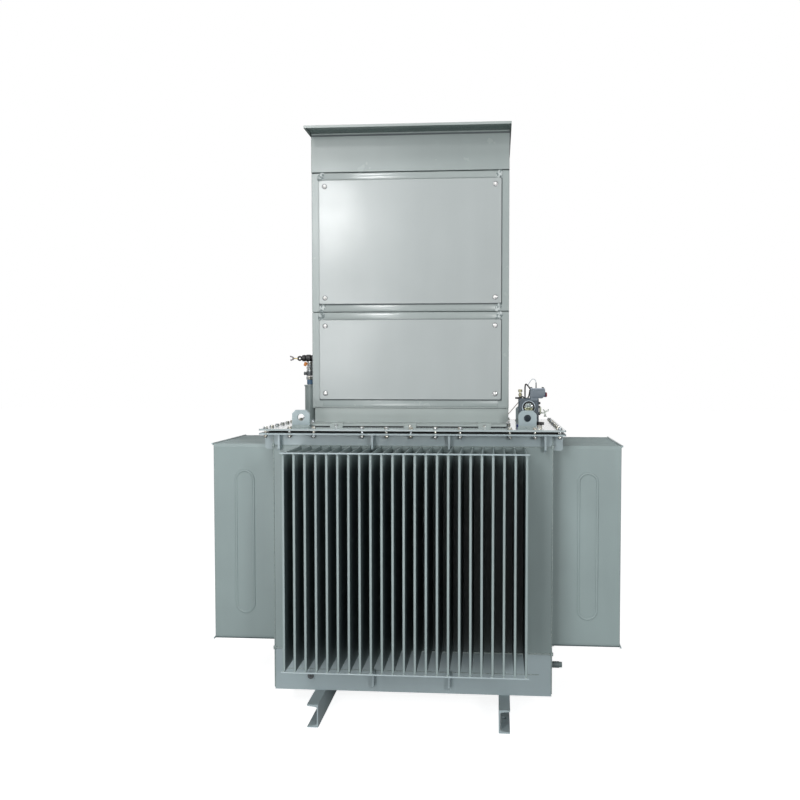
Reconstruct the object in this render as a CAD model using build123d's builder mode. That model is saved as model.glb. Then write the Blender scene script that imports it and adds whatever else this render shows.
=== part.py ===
from build123d import *
import os

# Sealed oil-filled power transformer: a welded tank with folded cooling fins on all
# four sides, a bolted cover, and a tall sheet-steel cable box standing on the cover.
# Millimetres. The origin is on the ground under the middle of the tank, +Z up,
# the front of the transformer towards -Y.

os.makedirs("parts", exist_ok=True)

# Base channels that carry the tank, hot-rolled with tapered flanges
channel_height = 100.0
channel_flange = 48.0
channel_web = 5.3
channel_toe = 6.0
channel_root = 11.0
channel_root_radius = 8.0
channel_toe_radius = 3.0
channel_overhang = 181.0
rail_gauge = 820.0
foundation_hole_spacing = 820.0
foundation_hole_radius = 10.0

# Tank, from its floor up to the bolted rim
tank_width = 1232.0
tank_depth = 778.0
floor_plate = 10.0
skirt_height = 188.0
skirt_plate = 6.0
wall_sheet = 2.0
rim_band_height = 58.0
rim_plate = 7.0
rim_overhang = 54.0
rim_corner = 10.0
gasket_width = 30.0
gasket_thickness = 11.0
cover_plate = 8.0
cover_edge = 1.5

# Cooling fins, folded from the wall sheet and pinched shut at both ends
fin_pitch = 45.0
fin_thickness = 11.0
fin_height = 904.0
fin_end_margin = 3.0
fin_nose_radius = 4.0
fin_seam = 4.0
fin_pinch = 14.0
front_fin_count = 23
front_fin_depth = 340.0
side_fin_count = 13
side_fin_depth = 310.0
swage_width = 90.0
swage_height = 664.0
swage_line = 8.0
swage_rise = 1.5
swage_shift = 10.0

# Rods welded across the fin tips
rod_diameter = 7.0
rod_end = 6.0
seat_gap = 0.3

# Ribs under the rim, and short ones low on the skirt
rib_plate = 9.0
rib_depth = 46.0
rib_chamfer = 8.0
rib_drop = 18.0
front_rib_x = 168.0
side_rib_x = 112.5
corner_rib_inset = 34.0
skirt_rib_start = 30.0
skirt_rib_height = 74.0

# Lifting lugs on the cover
lug_inset_x = 107.0
lug_inset_y = 85.0
lug_width = 80.0
lug_height = 72.0
lug_plate = 16.0
lug_corner = 16.0
lug_corner_radius = 6.0
lug_hole_radius = 16.0
lug_hole_height = 38.0
lug_pad_depth = 46.0
lug_pad_plate = 6.0
lug_clearance = 9.0

# Cable box, a little left of the middle. Its foot fits between the front and rear lugs
box_width = 924.0
box_shift = -34.0
box_setback = 281.0
box_sheet = 3.0
riser_height = 84.0
riser_inset = 10.0
foot_back_reach = 10.0
foot_plate = 9.0
foot_gasket = 4.0
foot_gasket_inset = 4.0
foot_lip = 15.0
clamp_width = 56.0
clamp_length = 44.0
clamp_plate = 5.0
clamp_spacing = 335.0
clamp_shift = -16.0
lower_section_height = 447.0
upper_section_height = 649.0
header_height = 180.0
header_proud = 6.0
section_gap = 3.0
section_return = 25.0
fold_radius = 3.0
panel_border = 36.0
panel_lap = 42.0
panel_return = 8.0
panel_sheet = 2.5
panel_corner = 8.0
seal_thickness = 4.0
seal_inset = 2.0
seal_width = 20.0
roof_front_overhang = 140.0
roof_side_overhang = 7.0
roof_lip = 12.0

# Oil filler on the left of the cover
filler_gap = 28.0
filler_setback = 480.0
filler_foot_radius = 40.0
filler_foot_plate = 8.0
filler_pipe_radius = 25.0
filler_pipe_height = 177.0
filler_collar_radius = 28.0
filler_collar_plate = 8.0
valve_neck_radius = 15.0
valve_body_radius = 21.0
valve_height = 113.0
knob_radius = 20.0
knob_length = 104.0
knob_reach = 74.0
knob_tip_length = 27.0
knob_tip_radius = 4.0

# Protection relay on the right of the cover
relay_gap = 38.0
relay_width = 100.0
relay_depth = 84.0
relay_foot_plate = 12.0
relay_body_height = 118.0
relay_corner = 9.0
relay_window_radius = 21.0
relay_bezel_radius = 26.0
relay_bezel_proud = 8.0
relay_glass = 4.0
relay_window_height = 91.0
terminal_box_width = 62.0
terminal_box_depth = 66.0
terminal_box_height = 40.0
terminal_lid = 5.0
terminal_box_shift = 40.0
gland_radius = 12.0
gland_length = 14.0
cock_radius = 8.0
cock_length = 28.0
drain_cock_height = 62.0

# Thermometer pocket between the relay and the front lug
pocket_gap = 1.0
pocket_nut_flats = 24.0
pocket_nut_height = 12.0
pocket_cap_radius = 14.0
pocket_cap_height = 14.0

# Drain valve and earth terminals on the skirt
drain_inset = 60.0
drain_height = 124.0
drain_radius = 14.0
drain_length = 38.0
drain_flange_radius = 20.0
drain_flange_plate = 6.0
drain_plug_flats = 22.0
drain_plug_length = 12.0
earth_inset = 163.0
earth_height = 65.0
earth_pad = 34.0
earth_pad_plate = 5.0
earth_bolt_flats = 19.0
earth_bolt_length = 9.0

# Levels worked out from the sizes above
floor_z = channel_height
skirt_bottom_z = floor_z + floor_plate
skirt_top_z = floor_z + skirt_height
wall_height = fin_height + 2 * fin_end_margin
wall_mid_z = skirt_top_z + wall_height / 2
wall_top_z = skirt_top_z + wall_height
rim_top_z = wall_top_z + rim_band_height
rim_under_z = rim_top_z - rim_plate
cover_under_z = rim_top_z + gasket_thickness
cover_top_z = cover_under_z + cover_plate
box_floor_z = cover_top_z + riser_height
foot_top_z = cover_top_z + foot_gasket + foot_plate
upper_section_z = box_floor_z + lower_section_height
header_z = upper_section_z + upper_section_height
roof_under_z = header_z + header_height
roof_top_z = roof_under_z + box_sheet

# Places worked out from the sizes above
channel_length = tank_depth + 2 * channel_overhang
tank_front_y = -tank_depth / 2
lug_x = tank_width / 2 - lug_inset_x
lug_y = tank_depth / 2 - lug_inset_y
lug_inner_y = lug_y - lug_pad_depth / 2
foot_front_y = lug_clearance - lug_inner_y
foot_back_y = lug_inner_y - lug_clearance
box_front_y = tank_front_y + box_setback
box_back_y = foot_back_y - foot_back_reach + riser_inset
box_depth = box_back_y - box_front_y
box_y = (box_front_y + box_back_y) / 2
box_left_x = box_shift - box_width / 2
box_right_x = box_shift + box_width / 2
filler_x = box_left_x - filler_gap - filler_pipe_radius
filler_y = tank_front_y + filler_setback
relay_x = box_right_x + relay_gap + relay_width / 2
pocket_y = pocket_gap + pocket_cap_radius - lug_inner_y
relay_front_y = pocket_y + pocket_cap_radius + pocket_gap
relay_y = relay_front_y + relay_depth / 2
drain_y = tank_front_y + drain_inset
earth_x = tank_width / 2 - earth_inset


# Base channels: each web faces the middle and its tapered flanges point outwards
channel_back_x = rail_gauge / 2 - channel_flange / 2
channel_mid_z = channel_height / 2
with BuildPart() as right_channel:
    with BuildSketch(Plane.XZ) as channel_section:
        with BuildLine():
            Polyline(
                (channel_back_x, 0),
                (channel_back_x + channel_flange, 0),
                (channel_back_x + channel_flange, channel_toe),
                (channel_back_x + channel_web, channel_root),
                (channel_back_x + channel_web, channel_height - channel_root),
                (channel_back_x + channel_flange, channel_height - channel_toe),
                (channel_back_x + channel_flange, channel_height),
                (channel_back_x, channel_height),
                close=True,
            )
        make_face()
        corners = channel_section.vertices()
        roots = corners.filter_by(lambda v: abs(v.X - channel_back_x - channel_web) < 1)
        fillet(roots, channel_root_radius)
        toes = channel_section.vertices().filter_by(
            lambda v: v.X > channel_back_x + channel_flange - 1
            and abs(v.Y - channel_mid_z) < channel_mid_z - 1
        )
        fillet(toes, channel_toe_radius)
    extrude(amount=channel_length / 2, both=True)
    with BuildSketch(Plane.XY):
        with Locations((rail_gauge / 2, 0)):
            with GridLocations(1, foundation_hole_spacing, 1, 2):
                Circle(foundation_hole_radius)
    extrude(amount=channel_height / 2, mode=Mode.SUBTRACT)
right_channel.part.label = "base_channel_right"
export_step(right_channel.part, "parts/base_channel_right.step")

with BuildPart() as left_channel:
    add(mirror(right_channel.part, about=Plane.YZ, mode=Mode.PRIVATE))
left_channel.part.label = "base_channel_left"
export_step(left_channel.part, "parts/base_channel_left.step")


# Tank floor and skirt
with BuildPart() as tank_floor:
    with BuildSketch(Plane.XY.offset(floor_z)):
        Rectangle(tank_width, tank_depth)
    extrude(amount=floor_plate)
tank_floor.part.label = "tank_floor"
export_step(tank_floor.part, "parts/tank_floor.step")

with BuildPart() as tank_skirt:
    with BuildSketch(Plane.XY.offset(skirt_bottom_z)):
        Rectangle(tank_width, tank_depth)
        Rectangle(
            tank_width - 2 * skirt_plate, tank_depth - 2 * skirt_plate, mode=Mode.SUBTRACT
        )
    extrude(amount=skirt_top_z - skirt_bottom_z)
tank_skirt.part.label = "tank_skirt"
export_step(tank_skirt.part, "parts/tank_skirt.step")


# The four finned walls. Each is drawn on a plane whose x runs along the wall,
# y goes up and z points away from the tank.
wall_planes = {
    "front": Plane(origin=(0, -tank_depth / 2, 0), x_dir=(1, 0, 0), z_dir=(0, -1, 0)),
    "back": Plane(origin=(0, tank_depth / 2, 0), x_dir=(-1, 0, 0), z_dir=(0, 1, 0)),
    "left": Plane(origin=(-tank_width / 2, 0, 0), x_dir=(0, -1, 0), z_dir=(-1, 0, 0)),
    "right": Plane(origin=(tank_width / 2, 0, 0), x_dir=(0, 1, 0), z_dir=(1, 0, 0)),
}
wall_lengths = {
    "front": tank_width,
    "back": tank_width,
    "left": tank_depth - 2 * wall_sheet,
    "right": tank_depth - 2 * wall_sheet,
}
fin_counts = {
    "front": front_fin_count,
    "back": front_fin_count,
    "left": side_fin_count,
    "right": side_fin_count,
}
fin_depths = {
    "front": front_fin_depth,
    "back": front_fin_depth,
    "left": side_fin_depth,
    "right": side_fin_depth,
}


def wall_panel(face, length):
    """The flat sheet between the roots of the fins."""
    with BuildPart() as panel:
        with BuildSketch(face):
            with Locations((0, wall_mid_z)):
                Rectangle(length, wall_height)
        extrude(amount=-wall_sheet)
    return panel


def fin_pack(face, count, depth):
    """A row of folded fins: round noses, ends pinched to a welded seam, and the
    pressed swage outline on the two outermost faces."""
    half = fin_height / 2
    with BuildPart() as pack:
        with BuildSketch(face):
            with Locations((0, wall_mid_z)):
                with GridLocations(fin_pitch, 1, count, 1):
                    Polygon(
                        (-fin_seam / 2, -half),
                        (fin_seam / 2, -half),
                        (fin_thickness / 2, fin_pinch - half),
                        (fin_thickness / 2, half - fin_pinch),
                        (fin_seam / 2, half),
                        (-fin_seam / 2, half),
                        (-fin_thickness / 2, half - fin_pinch),
                        (-fin_thickness / 2, fin_pinch - half),
                        align=None,
                    )
        extrude(amount=depth)
        outward = Axis(face.origin, face.z_dir)
        fillet(pack.edges().filter_by(Axis.Z).group_by(outward)[-1], fin_nose_radius)
        pack_half = (count - 1) * fin_pitch / 2 + fin_thickness / 2
        for end in (-1, 1):
            end_face = Plane(
                origin=face.from_local_coords((end * pack_half, wall_mid_z, depth / 2)),
                x_dir=face.z_dir,
                z_dir=face.x_dir * end,
            )
            with BuildSketch(end_face):
                with Locations((swage_shift, 0)):
                    SlotOverall(swage_height, swage_width, rotation=90)
                    SlotOverall(
                        swage_height - 2 * swage_line,
                        swage_width - 2 * swage_line,
                        rotation=90,
                        mode=Mode.SUBTRACT,
                    )
            extrude(amount=swage_rise)
    return pack


def fin_rods(face, count, depth):
    """Two round rods across the fin tips, level with their top and bottom ends."""
    length = (count - 1) * fin_pitch + fin_thickness + 2 * rod_end
    start = Plane(
        origin=face.from_local_coords(
            (-length / 2, wall_mid_z, depth + seat_gap + rod_diameter / 2)
        ),
        x_dir=face.z_dir,
        z_dir=face.x_dir,
    )
    with BuildPart() as rods:
        with BuildSketch(start):
            with GridLocations(1, fin_height, 1, 2):
                Circle(rod_diameter / 2)
        extrude(amount=length)
    return rods


def rim_ribs(face, length, rib_x):
    """Flat ribs that carry the rim: two near the middle, which reach down between
    two fins, and one near each corner."""
    rib_height = rim_under_z - wall_top_z + rib_drop
    corner_x = length / 2 - corner_rib_inset
    with BuildPart() as ribs:
        with BuildSketch(face):
            with Locations((0, rim_under_z - rib_height / 2)):
                with GridLocations(2 * rib_x, 1, 2, 1):
                    Rectangle(rib_plate, rib_height)
                with GridLocations(2 * corner_x, 1, 2, 1):
                    Rectangle(rib_plate, rib_height)
        extrude(amount=rib_depth)
        outer = ribs.edges().group_by(Axis(face.origin, face.z_dir))[-1]
        chamfer(outer.group_by(Axis.Z)[0], rib_chamfer)
    return ribs


def skirt_ribs(face, rib_x):
    """Two short ribs low on the skirt, with cut corners."""
    with BuildPart() as ribs:
        with BuildSketch(face):
            with Locations((0, floor_z + skirt_rib_start + skirt_rib_height / 2)):
                with GridLocations(2 * rib_x, 1, 2, 1):
                    Rectangle(rib_plate, skirt_rib_height)
        extrude(amount=rib_depth)
        outer = ribs.edges().group_by(Axis(face.origin, face.z_dir))[-1]
        chamfer(outer.filter_by(Axis.Z, reverse=True), rib_chamfer)
    return ribs


for side, face in wall_planes.items():
    wall = wall_panel(face, wall_lengths[side])
    wall.part.label = f"{side}_wall"
    export_step(wall.part, f"parts/{side}_wall.step")

    fins = fin_pack(face, fin_counts[side], fin_depths[side])
    fins.part.label = f"{side}_fins"
    export_step(fins.part, f"parts/{side}_fins.step")

    rods = fin_rods(face, fin_counts[side], fin_depths[side])
    rods.part.label = f"{side}_fin_rods"
    export_step(rods.part, f"parts/{side}_fin_rods.step")

    rib_x = front_rib_x if side in ("front", "back") else side_rib_x
    ribs = rim_ribs(face, wall_lengths[side], rib_x)
    ribs.part.label = f"{side}_rim_ribs"
    export_step(ribs.part, f"parts/{side}_rim_ribs.step")

for side in ("front", "back"):
    low_ribs = skirt_ribs(wall_planes[side], front_rib_x)
    low_ribs.part.label = f"{side}_skirt_ribs"
    export_step(low_ribs.part, f"parts/{side}_skirt_ribs.step")


# Rim, gasket and cover
with BuildPart() as tank_rim:
    with BuildSketch(Plane.XY.offset(wall_top_z)):
        Rectangle(tank_width, tank_depth)
    extrude(amount=rim_band_height)
    with BuildSketch(Plane.XY.offset(rim_under_z)):
        RectangleRounded(
            tank_width + 2 * rim_overhang, tank_depth + 2 * rim_overhang, rim_corner
        )
    extrude(amount=rim_plate)
    with BuildSketch(Plane.XY.offset(wall_top_z)):
        Rectangle(tank_width - 2 * skirt_plate, tank_depth - 2 * skirt_plate)
    extrude(amount=rim_band_height, mode=Mode.SUBTRACT)
tank_rim.part.label = "tank_rim"
export_step(tank_rim.part, "parts/tank_rim.step")

with BuildPart() as cover_gasket:
    with BuildSketch(Plane.XY.offset(rim_top_z)):
        Rectangle(tank_width + gasket_width, tank_depth + gasket_width)
        Rectangle(
            tank_width - gasket_width, tank_depth - gasket_width, mode=Mode.SUBTRACT
        )
    extrude(amount=gasket_thickness)
cover_gasket.part.label = "cover_gasket"
export_step(cover_gasket.part, "parts/cover_gasket.step")

with BuildPart() as tank_cover:
    with BuildSketch(Plane.XY.offset(cover_under_z)):
        RectangleRounded(
            tank_width + 2 * rim_overhang, tank_depth + 2 * rim_overhang, rim_corner
        )
    extrude(amount=cover_plate)
    chamfer(tank_cover.faces().sort_by(Axis.Z)[-1].edges(), cover_edge)
tank_cover.part.label = "tank_cover"
export_step(tank_cover.part, "parts/tank_cover.step")


# Lifting lugs: an eye plate across the width, welded on a small pad
def lifting_lug(x, y):
    pad_top_z = cover_top_z + lug_pad_plate
    with BuildPart() as lug:
        with BuildSketch(Plane.XY.offset(cover_top_z)):
            with Locations((x, y)):
                Rectangle(lug_width, lug_pad_depth)
        extrude(amount=lug_pad_plate)
        with BuildSketch(Plane.XZ.offset(-y)) as eye:
            with Locations((x, pad_top_z + lug_height / 2)):
                Rectangle(lug_width, lug_height)
            chamfer(eye.vertices().group_by(Axis.Y)[-1], lug_corner)
            shoulders = eye.vertices().filter_by(lambda v: v.Y > pad_top_z + lug_height / 2)
            fillet(shoulders, lug_corner_radius)
            with Locations((x, pad_top_z + lug_hole_height)):
                Circle(lug_hole_radius, mode=Mode.SUBTRACT)
        extrude(amount=lug_plate / 2, both=True)
    return lug


for end, y in (("front", -lug_y), ("back", lug_y)):
    for hand, x in (("left", -lug_x), ("right", lug_x)):
        lug = lifting_lug(x, y)
        lug.part.label = f"lifting_lug_{end}_{hand}"
        export_step(lug.part, f"parts/lifting_lug_{end}_{hand}.step")


# Riser of the cable box: a hollow neck between a foot plate, which stands on a gasket
# and reaches far out in front, and a flange under the box
riser_width = box_width - 2 * riser_inset
riser_depth = box_depth - 2 * riser_inset
foot_depth = foot_back_y - foot_front_y
foot_y = (foot_front_y + foot_back_y) / 2
foot_bottom_z = cover_top_z + foot_gasket
with BuildPart() as foot_seal:
    with BuildSketch(Plane.XY.offset(cover_top_z)):
        with Locations((box_shift, foot_y)):
            Rectangle(riser_width - 2 * foot_gasket_inset, foot_depth - 2 * foot_gasket_inset)
        with Locations((box_shift, box_y)):
            Rectangle(
                riser_width - 2 * foot_lip, riser_depth - 2 * foot_lip, mode=Mode.SUBTRACT
            )
    extrude(amount=foot_gasket)
foot_seal.part.label = "riser_gasket"
export_step(foot_seal.part, "parts/riser_gasket.step")

with BuildPart() as box_riser:
    with BuildSketch(Plane.XY.offset(foot_bottom_z)):
        with Locations((box_shift, foot_y)):
            Rectangle(riser_width, foot_depth)
    extrude(amount=foot_plate)
    with BuildSketch(Plane.XY.offset(foot_bottom_z)):
        with Locations((box_shift, box_y)):
            Rectangle(riser_width, riser_depth)
    extrude(amount=riser_height - foot_gasket)
    with BuildSketch(Plane.XY.offset(box_floor_z - box_sheet)):
        with Locations((box_shift, box_y)):
            Rectangle(box_width, box_depth)
    extrude(amount=box_sheet)
    with BuildSketch(Plane.XY.offset(foot_top_z)):
        with Locations((box_shift, box_y)):
            Rectangle(riser_width - 2 * box_sheet, riser_depth - 2 * box_sheet)
    extrude(amount=riser_height, mode=Mode.SUBTRACT)
    with BuildSketch(Plane.XY.offset(foot_bottom_z)):
        with Locations((box_shift, box_y)):
            Rectangle(riser_width - 2 * foot_lip, riser_depth - 2 * foot_lip)
    extrude(amount=foot_plate, mode=Mode.SUBTRACT)
box_riser.part.label = "box_riser"
export_step(box_riser.part, "parts/box_riser.step")

# Stepped clamps that press the front of the foot plate down on its gasket
clamp_step = foot_gasket + foot_plate
clamp_plane = Plane(
    origin=(clamp_shift, foot_front_y, cover_top_z), x_dir=(0, 1, 0), z_dir=(1, 0, 0)
)
with BuildPart() as foot_clamps:
    with BuildSketch(clamp_plane):
        with BuildLine():
            Polyline(
                (-clamp_length / 2, 0),
                (0, 0),
                (0, clamp_step),
                (clamp_length / 2, clamp_step),
                (clamp_length / 2, clamp_step + clamp_plate),
                (-clamp_plate, clamp_step + clamp_plate),
                (-clamp_plate, clamp_plate),
                (-clamp_length / 2, clamp_plate),
                close=True,
            )
        make_face()
    extrude(amount=clamp_width / 2, both=True)
    clamp = foot_clamps.part
with BuildPart() as riser_clamps:
    with GridLocations(clamp_spacing, 1, 3, 1):
        add(clamp)
riser_clamps.part.label = "riser_clamps"
export_step(riser_clamps.part, "parts/riser_clamps.step")


# Cable box sides
for hand, sign in (("left", -1), ("right", 1)):
    with BuildPart() as box_side:
        with BuildSketch(Plane.XY.offset(box_floor_z)):
            with Locations((box_shift + sign * (box_width - box_sheet) / 2, box_y)):
                Rectangle(box_sheet, box_depth - 2 * section_return)
        extrude(amount=roof_under_z - box_floor_z)
    box_side.part.label = f"box_{hand}_side"
    export_step(box_side.part, f"parts/box_{hand}_side.step")

# Front and back of the cable box: folded sections, one above the other, each with
# a window that a bolted pan-shaped panel closes, and a plain header on top
box_planes = {
    "front": Plane(origin=(box_shift, box_front_y, 0), x_dir=(1, 0, 0), z_dir=(0, -1, 0)),
    "back": Plane(origin=(box_shift, box_back_y, 0), x_dir=(-1, 0, 0), z_dir=(0, 1, 0)),
}


def folded_tray(face, width, bottom, height, depth, sheet, corner=0.0):
    """A sheet folded back along all four edges, its flat on the outside."""
    with BuildPart() as tray:
        with BuildSketch(face):
            with Locations((0, bottom + height / 2)):
                if corner:
                    RectangleRounded(width, height, corner)
                else:
                    Rectangle(width, height)
        extrude(amount=-depth)
        outward = Axis(face.origin, face.z_dir)
        fillet(tray.faces().sort_by(outward)[-1].outer_wire().edges(), fold_radius)
        with BuildSketch(face.offset(-sheet)):
            with Locations((0, bottom + height / 2)):
                if corner:
                    RectangleRounded(width - 2 * sheet, height - 2 * sheet, corner - sheet)
                else:
                    Rectangle(width - 2 * sheet, height - 2 * sheet)
        extrude(amount=sheet - depth, mode=Mode.SUBTRACT)
    return tray


def window_section(face, bottom, height):
    """A folded section with its window cut through the face."""
    with BuildPart() as section:
        add(folded_tray(face, box_width, bottom, height, section_return, box_sheet).part)
        with BuildSketch(face):
            with Locations((0, bottom + height / 2)):
                RectangleRounded(
                    box_width - 2 * (panel_border + panel_lap),
                    height - 2 * (panel_border + panel_lap),
                    panel_corner,
                )
        extrude(amount=-box_sheet, mode=Mode.SUBTRACT)
    return section


# Each section ends a little below the next one, which leaves a shadow gap
box_sections = (
    ("lower", box_floor_z, lower_section_height - section_gap),
    ("upper", upper_section_z, upper_section_height - section_gap),
)
for end, face in box_planes.items():
    for level, bottom, height in box_sections:
        section = window_section(face, bottom, height)
        section.part.label = f"box_{end}_{level}_frame"
        export_step(section.part, f"parts/box_{end}_{level}_frame.step")

        panel = folded_tray(
            face.offset(seal_thickness + panel_return),
            box_width - 2 * panel_border,
            bottom + panel_border,
            height - 2 * panel_border,
            panel_return,
            panel_sheet,
            panel_corner,
        )
        panel.part.label = f"box_{end}_{level}_panel"
        export_step(panel.part, f"parts/box_{end}_{level}_panel.step")

    header = folded_tray(
        face.offset(header_proud),
        box_width,
        header_z,
        header_height,
        section_return + header_proud,
        box_sheet,
    )
    header.part.label = f"box_{end}_header"
    export_step(header.part, f"parts/box_{end}_header.step")

# Rubber seals between the sections and their panels
with BuildPart() as panel_seals:
    for face in box_planes.values():
        for level, bottom, height in box_sections:
            seal_outer_width = box_width - 2 * panel_border - 2 * seal_inset
            seal_outer_height = height - 2 * panel_border - 2 * seal_inset
            with BuildSketch(face):
                with Locations((0, bottom + height / 2)):
                    Rectangle(seal_outer_width, seal_outer_height)
                    Rectangle(
                        seal_outer_width - 2 * seal_width,
                        seal_outer_height - 2 * seal_width,
                        mode=Mode.SUBTRACT,
                    )
            extrude(amount=seal_thickness)
panel_seals.part.label = "box_panel_seals"
export_step(panel_seals.part, "parts/box_panel_seals.step")

# Roof: a flat pan with a turned-down lip, far out over the front and the back
roof_width = box_width + 2 * roof_side_overhang
roof_depth = box_depth + 2 * roof_front_overhang
with BuildPart() as box_roof:
    with BuildSketch(Plane.XY.offset(roof_top_z - roof_lip)):
        with Locations((box_shift, box_y)):
            Rectangle(roof_width, roof_depth)
    extrude(amount=roof_lip)
    fillet(box_roof.faces().sort_by(Axis.Z)[-1].edges(), fold_radius)
    with BuildSketch(Plane.XY.offset(roof_top_z - roof_lip)):
        with Locations((box_shift, box_y)):
            Rectangle(roof_width - 2 * box_sheet, roof_depth - 2 * box_sheet)
    extrude(amount=roof_lip - box_sheet, mode=Mode.SUBTRACT)
box_roof.part.label = "box_roof"
export_step(box_roof.part, "parts/box_roof.step")


# Oil filler: a flanged pipe, a valve on top of it and a black knob on a cross spindle
filler_pipe_top_z = cover_top_z + filler_foot_plate + filler_pipe_height
with BuildPart() as filler_pipe:
    with BuildSketch(Plane.XY.offset(cover_top_z)):
        with Locations((filler_x, filler_y)):
            Circle(filler_foot_radius)
    extrude(amount=filler_foot_plate)
    with BuildSketch(Plane.XY.offset(cover_top_z + filler_foot_plate)):
        with Locations((filler_x, filler_y)):
            Circle(filler_pipe_radius)
    extrude(amount=filler_pipe_height)
    with BuildSketch(Plane.XY.offset(filler_pipe_top_z - filler_collar_plate)):
        with Locations((filler_x, filler_y)):
            Circle(filler_collar_radius)
    extrude(amount=filler_collar_plate)
filler_pipe.part.label = "filler_pipe"
export_step(filler_pipe.part, "parts/filler_pipe.step")

valve_top_z = filler_pipe_top_z + valve_height
valve_plane = Plane(origin=(filler_x, filler_y, 0), x_dir=(1, 0, 0), z_dir=(0, -1, 0))
with BuildPart() as filler_valve:
    with BuildSketch(valve_plane):
        with BuildLine():
            Polyline(
                (0, filler_pipe_top_z),
                (valve_neck_radius, filler_pipe_top_z),
                (valve_neck_radius, filler_pipe_top_z + 0.34 * valve_height),
                (valve_body_radius, filler_pipe_top_z + 0.38 * valve_height),
                (valve_body_radius, filler_pipe_top_z + 0.56 * valve_height),
                (valve_neck_radius, filler_pipe_top_z + 0.62 * valve_height),
                (valve_neck_radius, valve_top_z),
                (0, valve_top_z),
                close=True,
            )
        make_face()
    revolve(axis=Axis((filler_x, filler_y, 0), (0, 0, 1)))
filler_valve.part.label = "filler_valve"
export_step(filler_valve.part, "parts/filler_valve.step")

knob_z = valve_top_z + seat_gap + knob_radius
knob_start_x = filler_x - knob_reach
knob_plane = Plane(
    origin=(knob_start_x, filler_y, knob_z), x_dir=(1, 0, 0), z_dir=(0, -1, 0)
)
with BuildPart() as valve_knob:
    with BuildSketch(knob_plane):
        with BuildLine():
            Polyline(
                (-knob_tip_length, 0),
                (-knob_tip_length, knob_tip_radius),
                (0, knob_tip_radius),
                (0.22 * knob_length, 0.86 * knob_radius),
                (0.46 * knob_length, 0.86 * knob_radius),
                (0.54 * knob_length, knob_radius),
                (0.70 * knob_length, knob_radius),
                (0.78 * knob_length, 0.8 * knob_radius),
                (knob_length, 0.8 * knob_radius),
                (knob_length, 0),
                close=True,
            )
        make_face()
    revolve(axis=Axis((knob_start_x, filler_y, knob_z), (1, 0, 0)))
valve_knob.part.label = "valve_knob"
export_step(valve_knob.part, "parts/valve_knob.step")


# Protection relay: a cast body on a foot, a round window in front, a terminal box on top
relay_foot_top_z = cover_top_z + relay_foot_plate
relay_top_z = relay_foot_top_z + relay_body_height
window_z = cover_top_z + relay_window_height
window_plane = Plane(
    origin=(relay_x, relay_front_y, window_z), x_dir=(1, 0, 0), z_dir=(0, -1, 0)
)
with BuildPart() as relay_body:
    with BuildSketch(Plane.XY.offset(cover_top_z)):
        with Locations((relay_x, relay_y)):
            RectangleRounded(relay_width, relay_depth, relay_corner)
    extrude(amount=relay_foot_plate)
    with BuildSketch(Plane.XY.offset(relay_foot_top_z)):
        with Locations((relay_x, relay_y)):
            RectangleRounded(relay_width - relay_corner, relay_depth - 2, relay_corner)
    extrude(amount=relay_body_height)
    fillet(relay_body.faces().sort_by(Axis.Z)[-1].edges(), relay_corner / 2)
    with BuildSketch(window_plane.offset(-relay_corner)):
        Circle(relay_bezel_radius)
    extrude(amount=relay_corner + relay_bezel_proud)
    with BuildSketch(window_plane.offset(relay_bezel_proud)):
        Circle(relay_window_radius)
    extrude(amount=-relay_bezel_proud / 2 - relay_glass, mode=Mode.SUBTRACT)
relay_body.part.label = "relay_body"
export_step(relay_body.part, "parts/relay_body.step")

with BuildPart() as relay_window:
    with BuildSketch(window_plane.offset(relay_bezel_proud / 2 - relay_glass)):
        Circle(relay_window_radius)
    extrude(amount=relay_glass)
relay_window.part.label = "relay_window"
export_step(relay_window.part, "parts/relay_window.step")

terminal_x = relay_x + terminal_box_shift
terminal_top_z = relay_top_z + terminal_box_height
gland_start_x = terminal_x + terminal_box_width / 2
with BuildPart() as terminal_box:
    with BuildSketch(Plane.XY.offset(relay_top_z)):
        with Locations((terminal_x, relay_y)):
            RectangleRounded(terminal_box_width, terminal_box_depth, relay_corner)
    extrude(amount=terminal_box_height)
    with BuildSketch(Plane.XY.offset(terminal_top_z)):
        with Locations((terminal_x, relay_y)):
            RectangleRounded(
                terminal_box_width + terminal_lid,
                terminal_box_depth + terminal_lid,
                relay_corner,
            )
    extrude(amount=terminal_lid)
    fillet(terminal_box.faces().sort_by(Axis.Z)[-1].edges(), terminal_lid / 2)
terminal_box.part.label = "relay_terminal_box"
export_step(terminal_box.part, "parts/relay_terminal_box.step")

with BuildPart() as cable_gland:
    with BuildSketch(
        Plane(
            origin=(gland_start_x, relay_y, relay_top_z + terminal_box_height / 2),
            x_dir=(0, 1, 0),
            z_dir=(1, 0, 0),
        )
    ):
        RegularPolygon(gland_radius, 6)
    extrude(amount=gland_length)
    chamfer(cable_gland.faces().sort_by(Axis.X)[-1].edges(), gland_length / 6)
cable_gland.part.label = "relay_cable_gland"
export_step(cable_gland.part, "parts/relay_cable_gland.step")

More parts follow.
